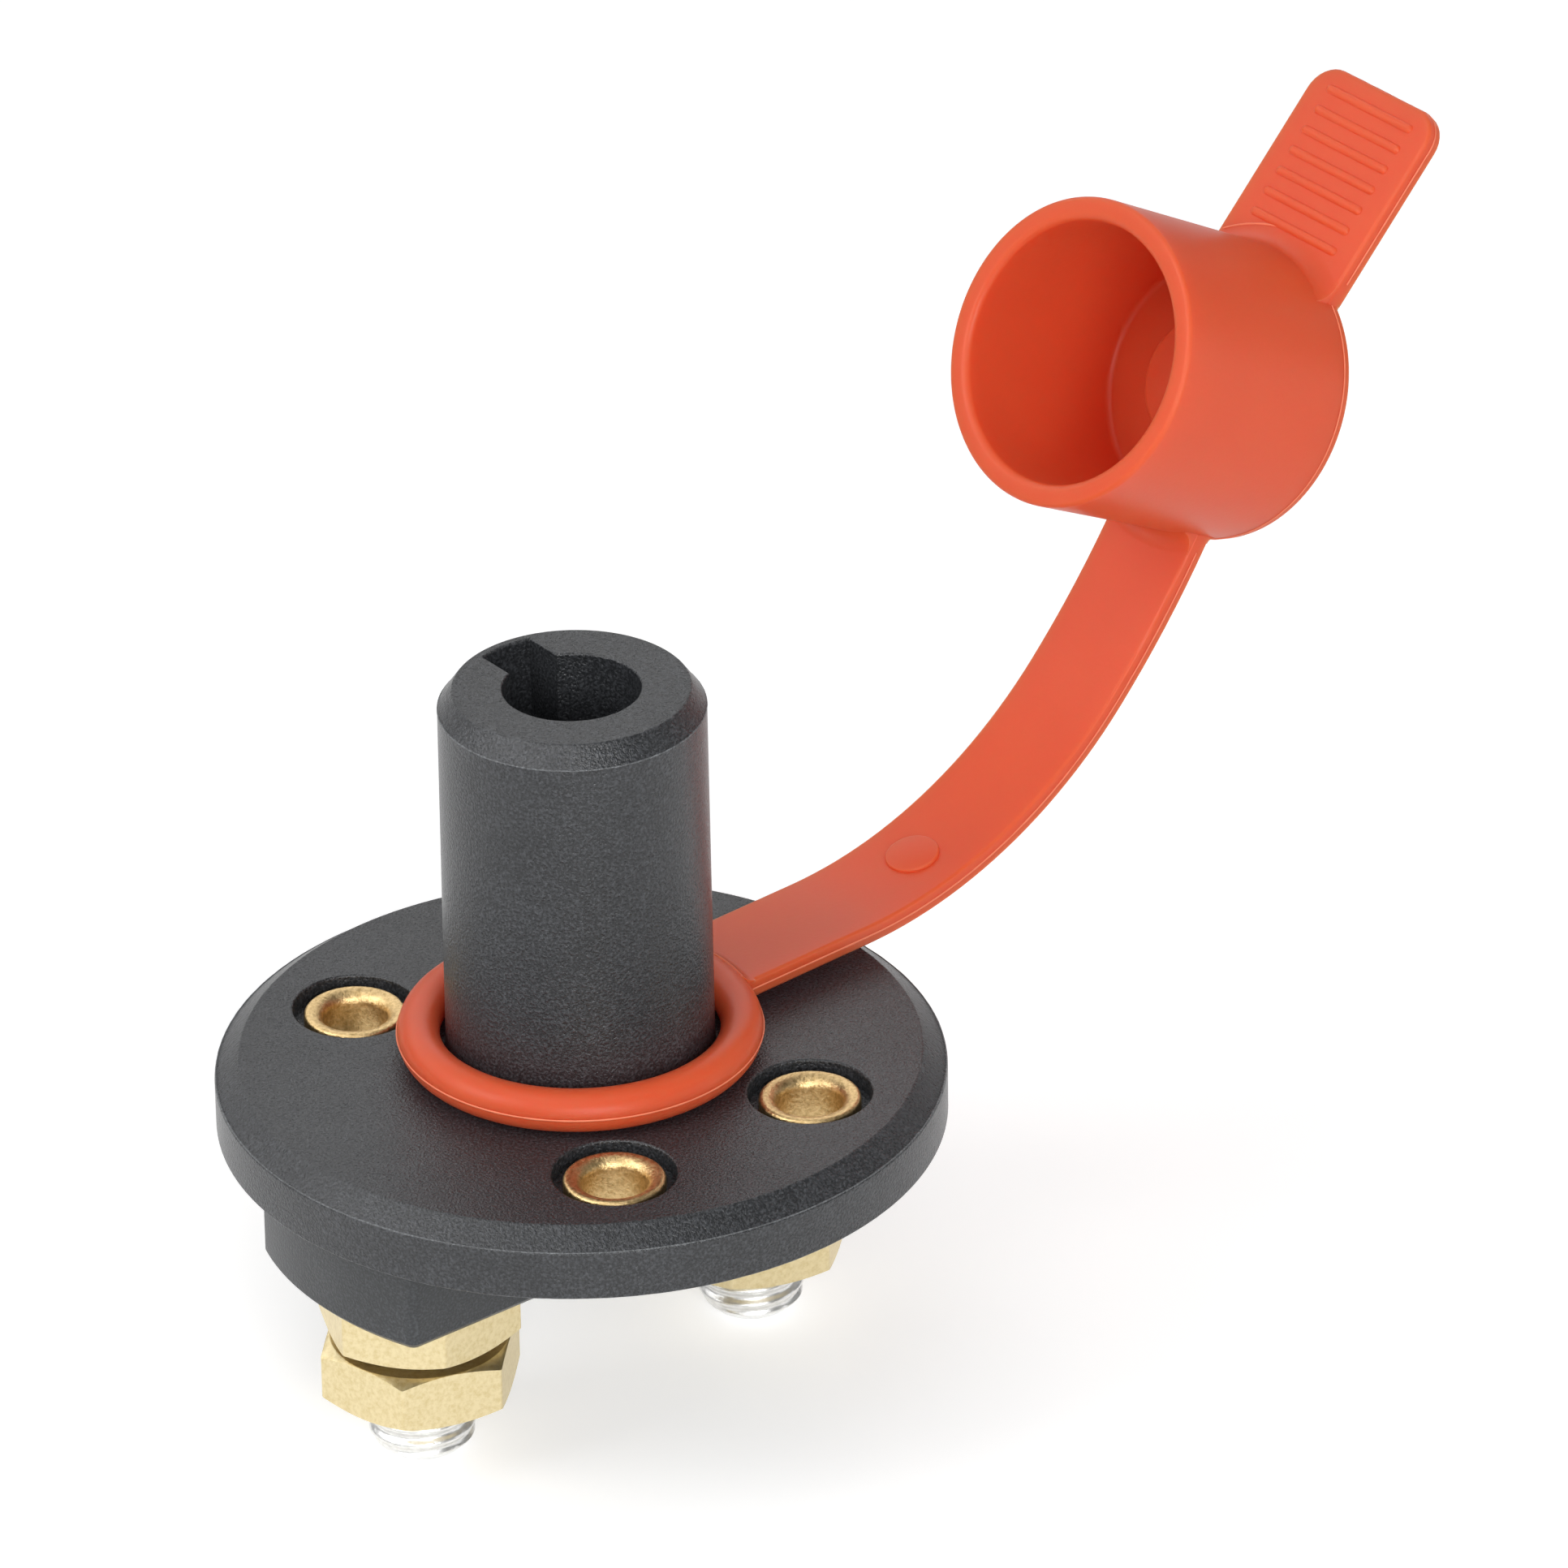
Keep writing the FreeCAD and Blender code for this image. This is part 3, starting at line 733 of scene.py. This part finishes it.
# %% Rivets
RIVET_BORE_R = 3.0
RIVET_TUBE_R = 3.5
RIVET_HEAD_R = 4.75
LIP_TOP = 6.05
one_rivet = turned("one_rivet", [
    (RIVET_TUBE_R, FOOT_SINK_H), (RIVET_TUBE_R, SINK_FLOOR), (RIVET_HEAD_R, SINK_FLOOR, 0.1),
    (RIVET_HEAD_R, LIP_TOP, 0.38), (RIVET_BORE_R, LIP_TOP, 1.2), (RIVET_BORE_R, 0.3, 0.4),
    (RIVET_HEAD_R, 0.3, 0.3), (RIVET_HEAD_R, FOOT_SINK_H, 0.1)], steps=72)
rivets = grow("rivets", tree, {
    "Rivet": one_rivet, "Across": EYELET_SPACING[0] * MM, "Along": EYELET_SPACING[1] * MM,
    "Material": eyelet_brass})
bpy.data.objects.remove(one_rivet)
finish_piece(rivets, eyelet_brass, "root", ["fixing_eyelet_" + str(k) for k in (1, 2, 3, 4)])

# %% [markdown]
# ## Threaded studs, by Geometry Nodes
# A thread is a rule: the radius falls and rises again once in every pitch, and the pattern
# climbs by one pitch in every turn. So the tree moves each point of a fine cylinder in or out by
# that rule, which also cuts the thread off at the bevelled tip. The stud's square head sits out
# of sight in the block's pocket and is joined on.

# %% Thread tree
FLANK = (0.12, 0.85)
TIP_BLEND = 0.0003
tree, given, out = geometry_tree(
    "thread", Float=["Radius", "Length", "Pitch", "Depth", "Tip"], Int=["Around", "Rows"])


def link_math(tree, operation, *sources):
    """A math node fed by sockets or plain numbers."""
    node = add(tree, "ShaderNodeMath", operation=operation)
    for slot, source in zip(node.inputs, sources):
        if isinstance(source, (int, float)):
            slot.default_value = source
        else:
            tree.links.new(source, slot)
    return node.outputs[0]


calc = partial(link_math, tree)
rod = add(tree, "GeometryNodeMeshCylinder")
point = add(tree, "GeometryNodeInputPosition")
where = add(tree, "ShaderNodeSeparateXYZ")
x, y, z = where.outputs
radius, length, pitch, depth, tip = given[1:6]
turns = calc("SUBTRACT", calc("DIVIDE", z, pitch),
             calc("DIVIDE", calc("ARCTAN2", y, x), 2 * math.pi))
saw = calc("ABSOLUTE", calc("SUBTRACT", calc("MULTIPLY", calc("FRACT", turns), 2.0), 1.0))
groove = calc("MULTIPLY", mapped(tree, saw, *FLANK, 0, 1), depth)
from_tip = calc("ADD", z, calc("DIVIDE", length, 2.0))
bevelled = calc("ADD", from_tip, calc("SUBTRACT", radius, tip))
cut = calc("SMOOTH_MIN", calc("SUBTRACT", radius, groove), bevelled, TIP_BLEND)
scale = calc("DIVIDE", cut, radius)
joined = add(tree, "ShaderNodeCombineXYZ")
moved = add(tree, "GeometryNodeSetPosition")
wire(tree, (given["Around"], rod, "Vertices"), (given["Rows"], rod, "Side Segments"),
     (radius, rod, "Radius"), (length, rod, "Depth"), (point, 0, where, 0),
     (calc("MULTIPLY", x, scale), joined, "X"), (calc("MULTIPLY", y, scale), joined, "Y"),
     (z, joined, "Z"), (rod, "Mesh", moved, "Geometry"), (joined, 0, moved, "Position"))
end_tree(tree, given, moved.outputs[0], out)

# %% Studs
STUD_R = 5.0
STUD_TIP_Z = -28.2
STUD_HEAD = (14.2, 16.6, 2.0)
STUD_HEAD_TOP = -4.5
THREAD_PITCH = 1.5
THREAD_DEPTH = 0.5
TIP_CUT = 1.2
shank_top = POCKET_FLOOR_Z + 1
head_edge = softened([(2, POCKET_FLOOR_Z), (0, POCKET_FLOOR_Z, 0.25),
                      (0, STUD_HEAD_TOP, 0.4), (2, STUD_HEAD_TOP)])
for side, stud_x in (("left", -STUD_X), ("right", STUD_X)):
    shank = grow("shank", tree, {
        "Radius": STUD_R * MM, "Length": (shank_top - STUD_TIP_Z) * MM,
        "Pitch": THREAD_PITCH * MM, "Depth": THREAD_DEPTH * MM, "Tip": TIP_CUT * MM,
        "Around": 72, "Rows": 140, "Material": stud_metal})
    shank.data.transform(Matrix.Translation((0, 0, (shank_top + STUD_TIP_Z) / 2 * MM)))
    stud = stacked("threaded_stud_" + side, [
        slab_outline(*STUD_HEAD, height, inset) for inset, height in head_edge])
    combine(stud, [shank], "UNION")
    stud.data.transform(Matrix.Translation((stud_x * MM, 0, 0)))
    finish_piece(stud, stud_metal, "root", ["terminal_stud_" + side], sharp=50)

# %% [markdown]
# ## Nuts, by Geometry Nodes
# Two brass nuts sit on each stud. A nut is a six-sided bar bevelled on a lathe, and the cone of
# that bevel leaves curved lines on the flats. So it is made the same way: a prism, cut by a
# turned shape. The four nuts stand at different turns, a number for each of four points.

# %% One nut
NUT_FLATS = 17.0
NUT_H = 5.5
NUT_CORNER_ROUND = 0.35
NUT_BEVEL_TILT = math.radians(30)
NUT_FACE_R = NUT_FLATS / 2 - 0.1
BORE_R = STUD_R + 0.05
BORE_MOUTH_R = STUD_R + 0.75
BORE_BEVEL = 0.7
EDGE_SOFTNESS = 0.14
nut_corner_r = NUT_FLATS / math.sqrt(3)
nut_bevel = (nut_corner_r - NUT_FLATS / 2) * math.tan(NUT_BEVEL_TILT)
lathe_r = nut_corner_r + 0.2
hexagon = [Vector(polar(nut_corner_r, math.radians(60 * k))[:2]) for k in range(6)]
ring = []
for k, corner in enumerate(hexagon):
    before = (hexagon[k - 1] - corner).normalized()
    after = (hexagon[(k + 1) % 6] - corner).normalized()
    ring += arc_between(corner, before, after, NUT_CORNER_ROUND)
one_nut = stacked("one_nut", [[(x, y, z) for x, y in ring] for z in (0, NUT_H)])
lathe_cut = turned("lathe_cut", [
    (0, 0), (NUT_FACE_R, 0, 0.25), (lathe_r, nut_bevel), (lathe_r, NUT_H - nut_bevel),
    (NUT_FACE_R, NUT_H, 0.25), (0, NUT_H)])
combine(one_nut, [lathe_cut], "INTERSECT")
bore = turned("bore", [
    (0, -OVERCUT), (BORE_MOUTH_R, -OVERCUT), (BORE_MOUTH_R, 0), (BORE_R, BORE_BEVEL),
    (BORE_R, NUT_H - BORE_BEVEL), (BORE_MOUTH_R, NUT_H), (BORE_MOUTH_R, NUT_H + OVERCUT),
    (0, NUT_H + OVERCUT)], steps=72)
combine(one_nut, [bore], "DIFFERENCE")
soft_edge = one_nut.modifiers.new("soft_edge", "BEVEL")
soft_edge.width = EDGE_SOFTNESS * MM
soft_edge.segments = 2
soft_edge.limit_method = "ANGLE"
soft_edge.angle_limit = math.radians(24)
bake(one_nut)

# %% Nut pattern tree
TURNS = ["Turn " + str(k) for k in (1, 2, 3, 4)]
tree, given, out = geometry_tree("nut_pattern", Object=["Nut"], Float=TURNS)
shape = add(tree, "GeometryNodeObjectInfo")
number = add(tree, "GeometryNodeInputIndex")
pick = add(tree, "GeometryNodeIndexSwitch", data_type="FLOAT")
for k in range(2):
    pick.index_switch_items.new()
turn = add(tree, "ShaderNodeCombineXYZ")
turn_angle = add(tree, "FunctionNodeEulerToRotation")
placed = add(tree, "GeometryNodeInstanceOnPoints")
wire(tree, (given["Nut"], shape, "Object"), (number, 0, pick, "Index"),
     *((given[label], pick, str(k)) for k, label in enumerate(TURNS)), (pick, 0, turn, "Z"),
     (turn, 0, turn_angle, 0), (given["Geometry"], placed, "Points"),
     (shape, "Geometry", placed, "Instance"), (turn_angle, 0, placed, "Rotation"))
end_tree(tree, given, placed.outputs[0], out)

# %% Nuts
NUT_GAP = 1.0
NUT_TURNS = (7, 43, 15, 41)
inner_z = -BLOCK_H - NUT_H
outer_z = inner_z - NUT_GAP - NUT_H
nuts = grow("terminal_nuts", tree, {
    "Nut": one_nut, "Material": nut_brass,
    **{label: math.radians(turn) for label, turn in zip(TURNS, NUT_TURNS)}},
    [(x, 0, z) for x in (-STUD_X, STUD_X) for z in (inner_z, outer_z)])
bpy.data.objects.remove(one_nut)
finish_piece(nuts, nut_brass, "root", [
    "outer_nut_left", "inner_nut_left", "inner_nut_right", "outer_nut_right"], sharp=20)

# %% [markdown]
# ## Sealing cap
# Ring, strap, cup and pull tab are one soft moulding. It is built in its own side view, in the
# plane of X and Z, and turned with the ring at the very end. Plastic flows round the inner
# corners of a mould, so each joint gets a hollow fillet of its own.

# %% Cup
STRAP_MID_Z = 8.7
CUP_BASE_R = 14.25
CUP_MOUTH_R = 14.75
CUP_DEPTH = 24.4
CUP_LIP_R = 12.55
CUP_FLOOR_R = 12.2
CUP_FLOOR = 4.1
BOSS_R = 6.2
BOSS_TOP = 6.1
CUP_LEAN = math.radians(61.1)
CUP_END = Vector((83.21, 0, 45.46))
CAP_STEPS = 160
towards_mouth = Vector((-math.sin(CUP_LEAN), 0, math.cos(CUP_LEAN)))
across_cup = Vector((math.cos(CUP_LEAN), 0, math.sin(CUP_LEAN)))
cup_frame = Matrix((across_cup, (0, 1, 0), towards_mouth)).transposed().to_4x4()
cup_frame.translation = CUP_END
cap = turned("sealing_cap_moulding", [
    (0, 0), (CUP_BASE_R, 0, 0.5), (CUP_MOUTH_R, CUP_DEPTH, 0.45), (CUP_LIP_R, CUP_DEPTH, 0.7),
    (CUP_FLOOR_R, CUP_FLOOR, 0.6), (BOSS_R, CUP_FLOOR, 0.3), (BOSS_R, BOSS_TOP, 0.5),
    (0, BOSS_TOP)], steps=CAP_STEPS, frame_of=cup_frame)

# %% Ring
RING_R = 15.0
RING_TUBE_R = 2.0
tube = arc(RING_R, STRAP_MID_Z, RING_TUBE_R, [2 * math.pi * k / 36 for k in range(36)])
cap_ring = turned("cap_ring", tube, steps=CAP_STEPS)

# %% [markdown]
# The strap is a flat band that follows two bends. A path and a section say that best, so a
# small geometry tree sweeps a rounded rectangle along a line of points.

# %% Strap
tree, given, out = geometry_tree("strap_sweep", Float=["Width", "Thickness", "Edge"])
line = add(tree, "GeometryNodeMeshToCurve")
level = add(tree, "GeometryNodeSetCurveNormal", mode="Z_UP")
section = add(tree, "GeometryNodeCurvePrimitiveQuadrilateral")
rounded = add(tree, "GeometryNodeFilletCurve", mode="POLY", Count=3)
swept = add(tree, "GeometryNodeCurveToMesh", **{"Fill Caps": True})
wire(tree, (given["Geometry"], line, 0), (line, 0, level, 0), (level, 0, swept, "Curve"),
     (given["Width"], section, "Width"), (given["Thickness"], section, "Height"),
     (section, 0, rounded, "Curve"), (given["Edge"], rounded, "Radius"),
     (rounded, 0, swept, "Profile Curve"))
end_tree(tree, given, swept.outputs[0], out)

STRAP_W = 11.2
STRAP_T = 2.0
STRAP_EDGE_R = 0.35
STRAP_FLAT_END = 31.0
STRAP_BURY = 1.8
BEND_1 = (45.0, 44.7)
BEND_2 = (90.0, 55.4)
MARK_ALONG = 10.8
MARK_R = 2.6
MARK_PROUD = 0.35


def side_view(angle, distance):
    """A step in the plane of the side view, at an angle in degrees above the level."""
    a = math.radians(angle)
    return Vector((distance * math.cos(a), 0, distance * math.sin(a)))


centre_1 = Vector((STRAP_FLAT_END, 0, STRAP_MID_Z + BEND_1[0]))
centre_2 = centre_1 + side_view(BEND_1[1] - 90, BEND_1[0] - BEND_2[0])
middle_line = [Vector((RING_R, 0, STRAP_MID_Z))]
middle_line += [centre_1 + side_view(BEND_1[1] * k / 24 - 90, BEND_1[0]) for k in range(25)]
middle_line += [centre_2 + side_view(BEND_1[1] + (BEND_2[1] - BEND_1[1]) * k / 8 - 90, BEND_2[0])
                for k in range(1, 9)]
strap_dir = side_view(BEND_2[1], 1)
strap_meets_wall = middle_line[-1]
middle_line.append(strap_meets_wall + strap_dir * STRAP_BURY)
strap = grow("cap_strap", tree, {
    "Width": STRAP_W * MM, "Thickness": STRAP_T * MM, "Edge": STRAP_EDGE_R * MM,
    "Material": cap_plastic},
    middle_line, [(k, k + 1) for k in range(len(middle_line) - 1)])
sides = [v.co.y / MM for v in strap.data.vertices]
print("strap is", round(max(sides) - min(sides), 2), "wide")
climb = math.degrees(math.asin(MARK_ALONG / BEND_1[0]))
mark_frame = Matrix.Translation(centre_1 + side_view(climb - 90, BEND_1[0])) @ Matrix.Rotation(
    -math.radians(climb), 4, "Y")
gate_mark = turned("gate_mark", [
    (0, 0.2), (MARK_R, 0.2), (MARK_R, STRAP_T / 2 + MARK_PROUD, 0.2),
    (0, STRAP_T / 2 + MARK_PROUD)], steps=48, frame_of=mark_frame)

# %% Pull tab
TAB_BURY = 3.2
TAB_REACH = 18.7
TAB_W = 17.0
TAB_T = 2.0
TAB_CORNER_R = 3.0
TAB_LEAN = 46.5
TAB_TURN = -3.0
TAB_EDGE_R = 0.35
tab_root = CUP_END + across_cup * (CUP_BASE_R - 1.0)
tab_frame = Matrix.Translation(tab_root) @ Matrix.Rotation(
    math.radians(TAB_TURN), 4, "Z") @ Matrix.Rotation(-math.radians(TAB_LEAN), 4, "Y")


def tab_outline(inset, z):
    """The tab seen from above: square at its root, rounded at its far corners."""
    r = TAB_CORNER_R - inset
    half = TAB_W / 2 - inset
    reach = TAB_REACH - inset
    points = [(-TAB_BURY, -half)]
    for side, first in ((-1, -90), (1, 0)):
        points += arc(reach - r, side * (half - r), r,
                      [math.radians(90 * k / 8 + first) for k in range(9)])
    return [(x, y, z) for x, y in points + [(-TAB_BURY, half)]]


tab_edge = softened([(1, -TAB_T / 2), (0, -TAB_T / 2, TAB_EDGE_R),
                     (0, TAB_T / 2, TAB_EDGE_R), (1, TAB_T / 2)])
tab = stacked("pull_tab", [tab_outline(inset, z) for inset, z in tab_edge[1:-1]], tab_frame)

# %% [markdown]
# Seven grip ribs cross the tab at even steps. They are copies of one capsule along a line, so a
# geometry tree counts them out from three inputs: how many, where the first lies, and the step.

# %% Grip ribs
RIB_R = 0.5
RIB_PROUD = 0.3
RIB_COUNT = 7
RIB_FIRST = 2.9
RIB_LAST = 2.18
RIB_MARGIN = 2.35
rib_step = (TAB_REACH - RIB_FIRST - RIB_LAST) / (RIB_COUNT - 1)
tree, given, out = geometry_tree(
    "rib_row", Object=["Rib"], Int=["Count"], Float=["First", "Step"])
row = add(tree, "GeometryNodeMeshLine")
first = add(tree, "ShaderNodeCombineXYZ")
step = add(tree, "ShaderNodeCombineXYZ")
shape = add(tree, "GeometryNodeObjectInfo")
placed = add(tree, "GeometryNodeInstanceOnPoints")
wire(tree, (given["Count"], row, "Count"), (given["First"], first, "X"),
     (given["Step"], step, "X"), (first, 0, row, "Start Location"), (step, 0, row, "Offset"),
     (given["Rib"], shape, "Object"), (row, 0, placed, "Points"),
     (shape, "Geometry", placed, "Instance"))
end_tree(tree, given, placed.outputs[0], out)

half_rib = TAB_W / 2 - RIB_MARGIN - RIB_R
upright = arc(0, half_rib, RIB_R, [math.radians(a) for a in range(0, 91, 15)])
upright = [(r, -z) for r, z in reversed(upright)] + upright
along_y = Matrix.Translation((0, 0, TAB_T / 2 + RIB_PROUD - RIB_R)) @ Matrix.Rotation(
    math.pi / 2, 4, "X")
one_rib = turned("one_rib", [(r if r > ON_AXIS else 0, z) for r, z in upright],
                 steps=24, frame_of=along_y)
ribs = grow("grip_ribs", tree, {
    "Rib": one_rib, "Count": RIB_COUNT, "First": RIB_FIRST * MM, "Step": rib_step * MM,
    "Material": cap_plastic})
in_metres = tab_frame.copy()
in_metres.translation *= MM
ribs.data.transform(in_metres)
bpy.data.objects.remove(one_rib)

# %% [markdown]
# A fillet is a strip whose section is a hollow arc between two faces, with a little more behind
# it that sinks into both. It runs along the line where the faces meet: the flat of the strap or
# tab and the cup's round wall, or the strap and the ring.

# %% Hollow fillets
FILLET_STATIONS = 24
RING_STATIONS = 16


def on_wall(y, side, plane_point, plane_normal):
    """Where a flat face of the strap or tab meets the cup's wall, at one distance y."""
    s = 3.0
    for k in range(6):
        radius = CUP_BASE_R + (CUP_MOUTH_R - CUP_BASE_R) * s / CUP_DEPTH
        start = CUP_END + across_cup * side * math.sqrt(radius ** 2 - y ** 2) + Vector((0, y, 0))
        s = (plane_point - start).dot(plane_normal) / towards_mouth.dot(plane_normal)
    return start + towards_mouth * s


def fillet(name, corners, face_dirs, wall_dirs, radius, sink=0.35):
    """A strip that fills an inner corner with a hollow curve and sinks into both faces."""
    rings = []
    for corner, face, wall in zip(corners, face_dirs, wall_dirs):
        face, wall = face.normalized(), wall.normalized()
        into_face = -(wall - face * wall.dot(face)).normalized()
        into_wall = -(face - wall * face.dot(wall)).normalized()
        curve = arc_between(corner, face, wall, radius, steps=8)
        rings.append(curve + [curve[-1] + into_wall * sink,
                              corner + (into_face + into_wall) * sink,
                              curve[0] + into_face * sink])
    return stacked(name, rings)


def wall_fillet(name, half_width, side, face_point, face_normal, face_dir, wall_dir, radius):
    """A fillet between the cup's wall and a flat face."""
    corners = [on_wall(half_width * (2 * k / FILLET_STATIONS - 1), side, face_point, face_normal)
               for k in range(FILLET_STATIONS + 1)]
    count = len(corners)
    return fillet(name, corners, [face_dir] * count, [wall_dir] * count, radius)


strap_up = side_view(BEND_2[1] + 90, 1)
half_strap = STRAP_W / 2 - 0.1
fillets = [wall_fillet(name, half_strap, -1, strap_meets_wall + strap_up * up * STRAP_T / 2,
                       strap_up, -strap_dir, towards_mouth * up, radius)
           for name, up, radius in (("fillet_strap_mouth", 1, 2.0), ("fillet_strap_end", -1, 0.8))]
tab_turned = tab_frame.to_3x3()
tab_up = tab_turned @ Vector((0, 0, 1))
tab_dir = tab_turned @ Vector((1, 0, 0))
tab_face = tab_root + tab_up * TAB_T / 2
fillets.append(wall_fillet("fillet_tab", TAB_W / 2 - 0.15, 1, tab_face, tab_up, tab_dir,
                           towards_mouth, 2.6))
meet_r = RING_R + math.sqrt(RING_TUBE_R ** 2 - (STRAP_T / 2) ** 2)
reach = math.asin(half_strap / meet_r)
for up in (1, -1):
    radials = [Vector(polar(1, reach * (2 * k / RING_STATIONS - 1)))
               for k in range(RING_STATIONS + 1)]
    corners = [r * meet_r + Vector((0, 0, STRAP_MID_Z + up * STRAP_T / 2)) for r in radials]
    wall_dirs = [r * -0.5 + Vector((0, 0, up * 0.866)) for r in radials]
    fillets.append(fillet("fillet_ring", corners, radials, wall_dirs, 1.4, sink=0.25))

# %% Join the cap
trim = turned("trim", [(0, -TAB_BURY), (CUP_BASE_R, -TAB_BURY), (CUP_BASE_R, 0), (0, 0)],
              steps=CAP_STEPS, frame_of=cup_frame)
combine(tab, [trim], "DIFFERENCE")
combine(cap, [cap_ring, strap, gate_mark, tab, ribs] + fillets, "UNION")
CAP_TURN = Matrix.Rotation(math.radians(3.2), 4, "Z")
cap.data.transform(CAP_TURN)
finish_piece(cap, cap_plastic, "cap", ["sealing_cap"], sharp=30)

# %% [markdown]
# ## Mould lines
# Where the halves of a mould meet, they leave a hair-thin raised line. A tree sweeps a very thin
# tube along each path, half sunk in the surface: round the ring, the cup near its closed end,
# the flange and the barrel's end, and along the edges of strap and tab. A little noise with a
# fixed seed makes the line break up as a real one does. The tubes are lighter than the surface
# they sit on, a painted highlight along each line.

# %% Mould line tree
THINNEST = 0.4
tree, given, out = geometry_tree("mould_line", Float=["Radius", "Raggedness", "Seed"])
path = add(tree, "GeometryNodeMeshToCurve")
ragged = add(tree, "ShaderNodeTexNoise", noise_dimensions="4D", Scale=900.0, Detail=2.0)
width = link_math(tree, "MULTIPLY_ADD", ragged.outputs["Fac"],
                  given["Raggedness"], THINNEST)
section = add(tree, "GeometryNodeCurvePrimitiveCircle", Resolution=6)
swept = add(tree, "GeometryNodeCurveToMesh", **{"Fill Caps": True})
wire(tree, (given["Geometry"], path, 0), (given["Seed"], ragged, "W"), (path, 0, swept, "Curve"),
     (given["Radius"], section, "Radius"), (width, swept, "Scale"),
     (section, 0, swept, "Profile Curve"))
end_tree(tree, given, swept.outputs[0], out)


# %% Lines as points and edges
def circle_line(radius, z, degrees=range(360)):
    """A line round the upright axis, with a point at each of the degrees."""
    return [Vector(polar(radius, math.radians(a), z)) for a in degrees]


def divided(line_points, pieces_of):
    """A line with each run cut into pieces, as many as a function of its length says."""
    points = []
    for a, b in zip(line_points, line_points[1:]):
        pieces = pieces_of((b - a).length)
        points += [a.lerp(b, k / pieces) for k in range(pieces)]
    return points


def line_mesh(lines):
    """The points of several lines and the edges along them. A closed line joins its own start."""
    points, edges = [], []
    for line_points, closed in lines:
        first_point = len(points)
        points += line_points
        edges += [(first_point + k, first_point + k + 1) for k in range(len(line_points) - 1)]
        if closed:
            edges.append((len(points) - 1, first_point))
    return points, edges


# %% Mould lines of the cap
RING_LINE_R = RING_R + RING_TUBE_R
LINE_START_X = 16.2
CUP_LINE_R = CUP_BASE_R + 0.02
CUP_LINE_UP = 1.0
lines = [(circle_line(RING_LINE_R, STRAP_MID_Z, range(22, 339)), False)]
for side in (-1, 1):
    edge_y = Vector((0, side * STRAP_W / 2, 0))
    begin = Vector((LINE_START_X, 0, STRAP_MID_Z))
    along = [begin.lerp(middle_line[1], k / 12) for k in range(12)] + middle_line[1:-1]
    lines.append(([p + edge_y for p in divided(along, lambda run: 3)], False))
lines.append(([cup_frame @ p for p in circle_line(CUP_LINE_R, CUP_LINE_UP)], True))
rim = divided([Vector(p) for p in tab_outline(0, 0)], lambda run: max(1, int(run / 0.4)))
lines.append(([tab_frame @ p for p in rim if p.x > 0.6], False))
lines.append(([on_wall(TAB_W / 2 * (k / 20 - 0.35), 1, tab_face, tab_up) + tab_dir * 2.0
               for k in range(27)], False))
points, edges = line_mesh([([CAP_TURN @ p for p in line], closed) for line, closed in lines])
mould_lines = grow("cap_mould_lines", tree, {
    "Radius": 0.1 * MM, "Raggedness": 1.1, "Seed": 4.0, "Material": mould_line_plastic},
    points, edges)
finish_piece(mould_lines, mould_line_plastic, "cap", [], sharp=80)

# %% Flash lines of the housing, lighter than the grey: a painted highlight on the bevel edges
FLASH_HIGHLIGHT_PLACES = ((FLANGE_R - 0.12, 4.79), (FLANGE_R - 0.1, 0.07), (BARREL_TIP_R - 0.04, 42.7))
flash_highlight_lines = grow("housing_flash_lines", tree, {
    "Radius": 0.09 * MM, "Raggedness": 1.0, "Seed": 7.0, "Material": flash_plastic},
    *line_mesh([(circle_line(*place), True) for place in FLASH_HIGHLIGHT_PLACES]))
finish_piece(flash_highlight_lines, flash_plastic, "root", [], sharp=80)

# %% [markdown]
# ## Inner pieces
# The plunger, its seal, the contact bridge, the spring seat and the clip are right as the frame
# has them and hardly show, so they only get their finishes. A coil spring shortens when the
# plunger goes down. Each spring here is a copy of its solid with the loose triangles merged.

# %% Springs
SPRING_MERGE_GAP = 0.001


def shortening_spring(name, node, body):
    """A copy of a spring's solid with the loose triangles merged, in its finish and its place."""
    shape = bmesh.new()
    shape.from_mesh(frame["nodes"][node].data)
    bmesh.ops.remove_doubles(shape, verts=shape.verts, dist=SPRING_MERGE_GAP * MM)
    mesh = bpy.data.meshes.new(name)
    shape.to_mesh(mesh)
    shape.free()
    spring = new_object(name, mesh)
    finish_piece(spring, spring_steel, body, [node])
    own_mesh(spring)


shortening_spring("coil_under_bridge", "return_spring", "root")
shortening_spring("coil_on_bridge", "contact_spring", "bridge")

# %% Finishes on the frame's own pieces
finishes = {slot_names[material.name]: material for material in (
    plunger_plastic, seal_rubber, spring_steel, bridge_copper)}
for part in frame["record"]["subparts"]:
    node, slot = part["node"], part["material_slot"]
    if slot in finishes and not node.endswith("_spring"):
        materials = frame["nodes"][node].data.materials
        materials.clear()
        materials.append(finishes[slot])
        print(node, "finished as", slot)

# %% Print the frame's box
print("cad box", [[round(c, 4) for c in v] for v in cad_box])
